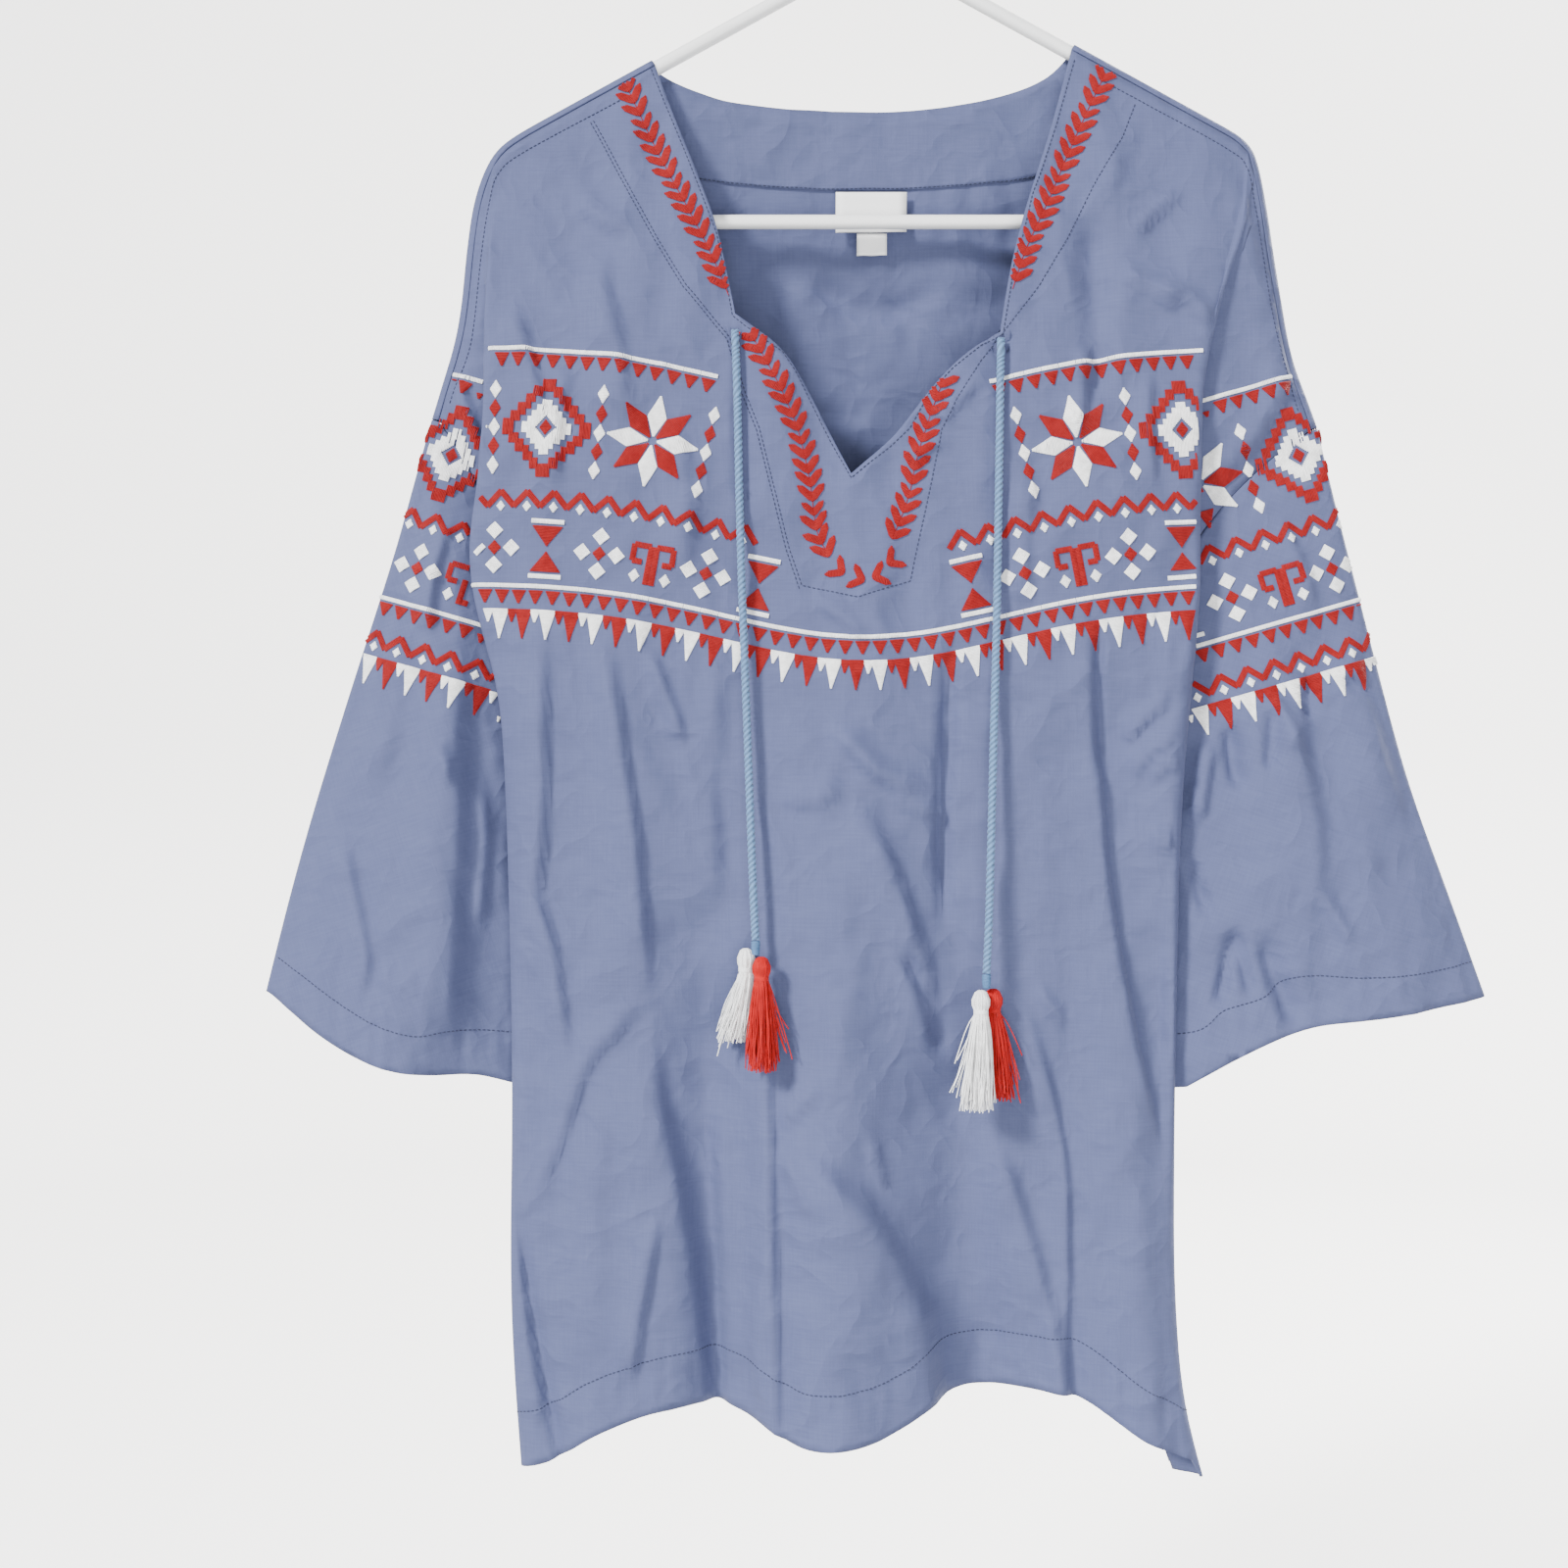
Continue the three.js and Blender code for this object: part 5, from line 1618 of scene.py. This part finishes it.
# The front's folded edges, by height: the chest's band stops there and the sleeves' go on.
FOLDED_EDGE = {
    "left": ([-640, -504, -472, -444, -428, -385, -339, -282, -186],
             [-203, -207, -210, -217, -227, -224, -218, -217, -214]),
    "right": ([-640, -542, -490, -461, -409, -345, -307, -284, -261, -237, -191],
              [164.5, 167, 171, 175, 177, 177.5, 178.5, 183, 188, 198.5, 210]),
}
# The bib under the neck slit, by height.
BIB = {
    "left": ([-431, -422, -402, -370, -337, -316, -286], [-12, -42.5, -49.5, -57.5, -65.6, -73.7, -82]),
    "right": ([-431, -420, -402, -370, -337, -321, -300, -286], [-12, 16.7, 20.4, 27.4, 34, 42, 55, 66]),
}


def in_field(field, point):
    """Whether a point (x, z) is on the part of the cloth that a field of the band covers."""
    x, z = point
    left, right = [np.interp(z, *FOLDED_EDGE[side]) for side in ("left", "right")]
    on_sleeve, on_chest = 1.5, 2.5
    if field == "left":
        return x < left - on_sleeve
    if field == "right":
        return x > right + on_sleeve
    return left + on_chest < x < right - on_chest


def on_bib(point):
    """Whether a point is on the bib, or so near that its stitches would touch the bib's edge."""
    x, z = point
    low, clear = -437, 4
    return z > low and np.interp(z, *BIB["left"]) - clear < x < np.interp(z, *BIB["right"]) + clear


def bar(a, b, width):
    """A straight bar of satin stitch, and its stitches' direction."""
    (ax, az), (bx, bz) = a, b
    far = math.hypot(bx - ax, bz - az)
    nx, nz = -(bz - az) / far * width / 2, (bx - ax) / far * width / 2
    outline = [(ax + nx, az + nz), (bx + nx, bz + nz), (bx - nx, bz - nz), (ax - nx, az - nz)]
    return [outline], math.atan2(nz, nx)


def diamond(wide, high):
    """A plain lozenge."""
    return [(0, high / 2), (wide / 2, 0), (0, -high / 2), (-wide / 2, 0)]


def triangle(wide, high):
    """A triangle that hangs point down from its base."""
    return [(-wide / 2, high / 2), (wide / 2, high / 2), (0, -high / 2)]


def stairs(size, steps):
    """Outline of a lozenge whose sides are stairs."""
    rise = size / steps
    quarter = [p for i in range(steps)
               for p in ((i * rise, size - i * rise), ((i + 1) * rise, size - i * rise))]
    right = quarter + [(x, -z) for x, z in reversed(quarter)]
    return [(x * 0.9, z) for x, z in right + [(-x, z) for x, z in reversed(right)]]


def stepped_diamond(outer, inner):
    """Two lozenges with stairs for sides, one in the other, round a small plain one."""
    return [
        (outer, [stairs(27, 6), stairs(20, 6)], math.pi / 2),
        (inner, [stairs(15, 5), diamond(12, 13)], math.pi / 2),
        (outer, [diamond(7, 8)], 0.0),
    ]


def star(a, b):
    """An eight-pointed star of eight lozenges in two colours."""
    leaf, size = [(0.07, 0), (0.52, 0.205), (1, 0), (0.52, -0.205)], 26
    found = []
    for k in range(8):
        turn = k * math.pi / 4
        found.append((a if k % 2 else b, [placed(leaf, 0, 0, turn, size)], turn + math.pi / 2))
    return found


def horns(tint, eye):
    """A pair of hooked horns that rise from one stem, over a small lozenge."""
    found = []
    for side in (-1, 1):
        line = [(side * 1.6, -13), (side * 1.6, 8), (side * 11, 8), (side * 11, -1), (side * 5.6, -1)]
        found += [(tint, *bar(p, q, 3.0)) for p, q in zip(line, line[1:])]
    return found + [(eye, [placed(diamond(6, 7), side * 8.5, -9)], 0.0) for side in (-1, 1)]


def cross(tint, middle):
    """Four lozenges round a fifth."""
    places = [(0, 9.5), (9.5, 0), (0, -9.5), (-9.5, 0)]
    return [(tint, [placed(diamond(9.5, 9.5), x, z)], math.pi / 4) for x, z in places] + [
        (middle, [diamond(7.5, 7.5)], 0.0)]


def hourglass(tint, edge):
    """Two triangles point to point between two bars."""
    top, low = triangle(17, 11), [(x, -z) for x, z in triangle(17, 11)]
    return [
        (tint, [placed(top, 0, 7)], 0.0), (tint, [placed(low, 0, -7)], 0.0),
        (edge, *bar((-9, 15), (9, 15), 2.2)), (edge, *bar((-9, -15), (9, -15), 2.2)),
    ]


def pillar(tint, edge):
    """A slim stack of lozenges that fills the gap between two large motifs."""
    return [(edge if k % 2 else tint, [placed(diamond(6.5, 9.5), 0, (k - 2) * 10.5)], 0.0)
            for k in range(5)]


def zigzag(tint, dot):
    """One wave of a zigzag with a dot below."""
    return [
        (tint, *bar((-7.6, -4.4), (0.2, 4.2), 3.2)), (tint, *bar((-0.2, 4.2), (7.6, -4.4), 3.2)),
        (dot, [placed(diamond(4.6, 5.4), 0, -4.2)], 0.0),
    ]


def edging(line, tooth):
    """A line with a tooth hanging from it."""
    return [(line, [[(-4.7, 6.4), (4.7, 6.4), (4.7, 4.4), (-4.7, 4.4)]], math.pi / 2),
            (tooth, [placed(triangle(8.2, 8), 0, -1)], 0.0)]


def fringe(long, short):
    """A long point and a short one beside it."""
    return [(long, [triangle(9.5, 17)], 0.0), (short, [placed(triangle(6, 8), 6.5, 4.5)], 0.0)]


# Rows of the band: depth below its top edge, pitch, first place, and the motifs that take turns.
CHEST_ROWS = [
    (6, 9.4, 0, [edging("white", "red")]),
    (44, 58, -8, [star("red", "white"), stepped_diamond("red", "white")]),
    (44, 58, 21, [pillar("white", "red")]),
    (83, 14.8, 0, [zigzag("red", "white")]),
    (110, 29, -8, [horns("red", "white"), cross("white", "red"),
                   hourglass("red", "white"), cross("white", "red")]),
    (136, 9.4, 0, [edging("white", "red")]),
    (152, 13, 0, [fringe("white", "red"), fringe("red", "white")]),
]
SLEEVE_ROWS = [
    (6, 9.4, 0, [edging("white", "red")]),
    (44, 58, 12, [stepped_diamond("red", "white"), star("white", "red")]),
    (44, 58, 41, [pillar("white", "red")]),
    (83, 14.8, 0, [zigzag("red", "white")]),
    (110, 29, 12, [cross("white", "red"), horns("red", "white"),
                   cross("white", "red"), hourglass("red", "white")]),
    (136, 9.4, 0, [edging("white", "red")]),
    (154, 14.8, 0, [zigzag("red", "white")]),
    (172, 13, 0, [fringe("white", "red"), fringe("red", "white")]),
]


def chest_place(across, down):
    """The band's rows sag towards the middle of the chest."""
    top, middle, deep, wide = -290, -8, 30, 110
    sag = deep * math.exp(-(((across - middle) / wide) ** 2))
    slope = sag * 2 * (across - middle) / wide**2
    return across, top - sag - down, math.atan(slope)


def sleeve_place(side):
    """The rows on a sleeve run square to its outer edge."""
    sign, start = {"left": (1, 237), "right": (-1, 234)}[side]
    turn, top = -sign * math.radians(16), -302

    def place(across, down):
        u = sign * across
        x = -sign * start + u * math.cos(turn) + down * math.sin(turn)
        return x, top + u * math.sin(turn) - down * math.cos(turn), turn

    return place


def band(field):
    """All shapes of one field of the band: colour, outlines and the stitches' direction."""
    chest = field == "chest"
    place = chest_place if chest else sleeve_place(field)
    low, high = (-240, 200) if chest else (-20, 125)
    for down, pitch, first, motifs in CHEST_ROWS if chest else SLEEVE_ROWS:
        for k in range(math.ceil((low - first) / pitch), math.floor((high - first) / pitch) + 1):
            x, z, turn = place(first + k * pitch, down)
            motif = [(tint, [placed(loop, x, z, turn) for loop in loops], angle + turn)
                     for tint, loops, angle in motifs[k % len(motifs)]]
            if chest and any(on_bib(p) for _, loops, _ in motif for loop in loops for p in loop):
                continue
            yield from motif


# ---------- Stage ----------

class TUNIC_OT_stage(Operator):
    """Lay the pale floor that curves up into a wall, and the soft lights"""

    bl_idname = "tunic.stage"
    bl_label = "Stage"

    def execute(self, context):
        settings = context.scene.tunic_stage
        reach, floor_z, sweep, top = settings.radius, -1.15, 0.7, 1.6
        profile = [(0.001, floor_z), (reach * 0.5, floor_z), (reach, floor_z)]
        for i in range(1, 13):
            angle = math.pi / 2 * i / 12
            profile.append((reach + sweep * math.sin(angle), floor_z + sweep * (1 - math.cos(angle))))
        profile.append((reach + sweep, top))
        sides = 96
        points = [(r * math.cos(2 * math.pi * k / sides), r * math.sin(2 * math.pi * k / sides), z)
                  for r, z in profile for k in range(sides)]
        faces = [(i + k, i + (k + 1) % sides, i + sides + (k + 1) % sides, i + sides + k)
                 for i in range(0, (len(profile) - 1) * sides, sides) for k in range(sides)]
        # The floor throws no shade or light on the cloth, so that the folds keep their contrast.
        dish = new_object("floor", mesh_from("floor", points, faces), "wall")
        dish.visible_shadow = dish.visible_diffuse = False
        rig.stage(dish)
        world = bpy.data.worlds.new("studio")
        world.use_nodes = True
        sky = world.node_tree.nodes["Background"].inputs
        sky["Color"].default_value = (0.95, 0.97, 1.0, 1)
        sky["Strength"].default_value = 0.38 * settings.light
        context.scene.world = world
        self.lamp("key", "SUN", (0, 0, 0), (0.72, 0.74, -0.62), 3.1, {"angle": math.radians(11)})
        self.lamp("fill", "AREA", (0.2, -2.0, -1.0), (0, 0, -0.8), 19, {"shape": "DISK", "size": 1.4})
        self.lamp("rear", "AREA", (1.7, 1.2, 0.9), (0, 0, -0.5), 75, {"shape": "DISK", "size": 0.8})
        return {"FINISHED"}

    def lamp(self, name, kind, place, target, energy, shape):
        """A lamp at a place that shines towards the target."""
        data = bpy.data.lights.new(name, kind)
        data.energy = energy * bpy.context.scene.tunic_stage.light
        for key, value in shape.items():
            setattr(data, key, value)
        lamp = linked(name, data)
        lamp.location = place
        lamp.visible_camera = False
        lamp.rotation_euler = (Vector(target) - Vector(place)).to_track_quat("-Z", "Y").to_euler()


# ---------- Panel and registration ----------

GROUPS = {
    "tunic_cloth": ClothSettings,
    "tunic_thread": ThreadSettings,
    "tunic_tie": TieSettings,
    "tunic_hanger": HangerSettings,
    "tunic_stage": StageSettings,
}
STEPS = (
    TUNIC_OT_camera, TUNIC_OT_ties, TUNIC_OT_hanger, TUNIC_OT_panels, TUNIC_OT_label,
    TUNIC_OT_stitching, TUNIC_OT_neck_border, TUNIC_OT_chest_band, TUNIC_OT_stage,
)


class TUNIC_PT_sidebar(Panel):
    """Lists the tunic's settings and the steps that make it"""

    bl_idname = "TUNIC_PT_sidebar"
    bl_label = "Embroidered tunic"
    bl_space_type = "VIEW_3D"
    bl_region_type = "UI"
    bl_category = "Tunic"

    def draw(self, context):
        for key, group in GROUPS.items():
            box = self.layout.box()
            for name in group.__annotations__:
                box.prop(getattr(context.scene, key), name)
        for step in STEPS:
            self.layout.operator(step.bl_idname)


CLASSES = (*GROUPS.values(), *STEPS, TUNIC_PT_sidebar)


def register():
    for cls in CLASSES:
        bpy.utils.register_class(cls)
    for key, group in GROUPS.items():
        setattr(bpy.types.Scene, key, PointerProperty(type=group))


def unregister():
    for key in GROUPS:
        delattr(bpy.types.Scene, key)
    for cls in reversed(CLASSES):
        bpy.utils.unregister_class(cls)


def main():
    register()
    for step in STEPS:
        group, name = step.bl_idname.split(".")
        getattr(getattr(bpy.ops, group), name)()
    boxes = {"cad": CAD_BOX, "visual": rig.bounds()}
    with open("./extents.json", "w") as file:
        json.dump({key: [list(corner) for corner in box] for key, box in boxes.items()}, file)


if __name__ == "__main__":
    main()
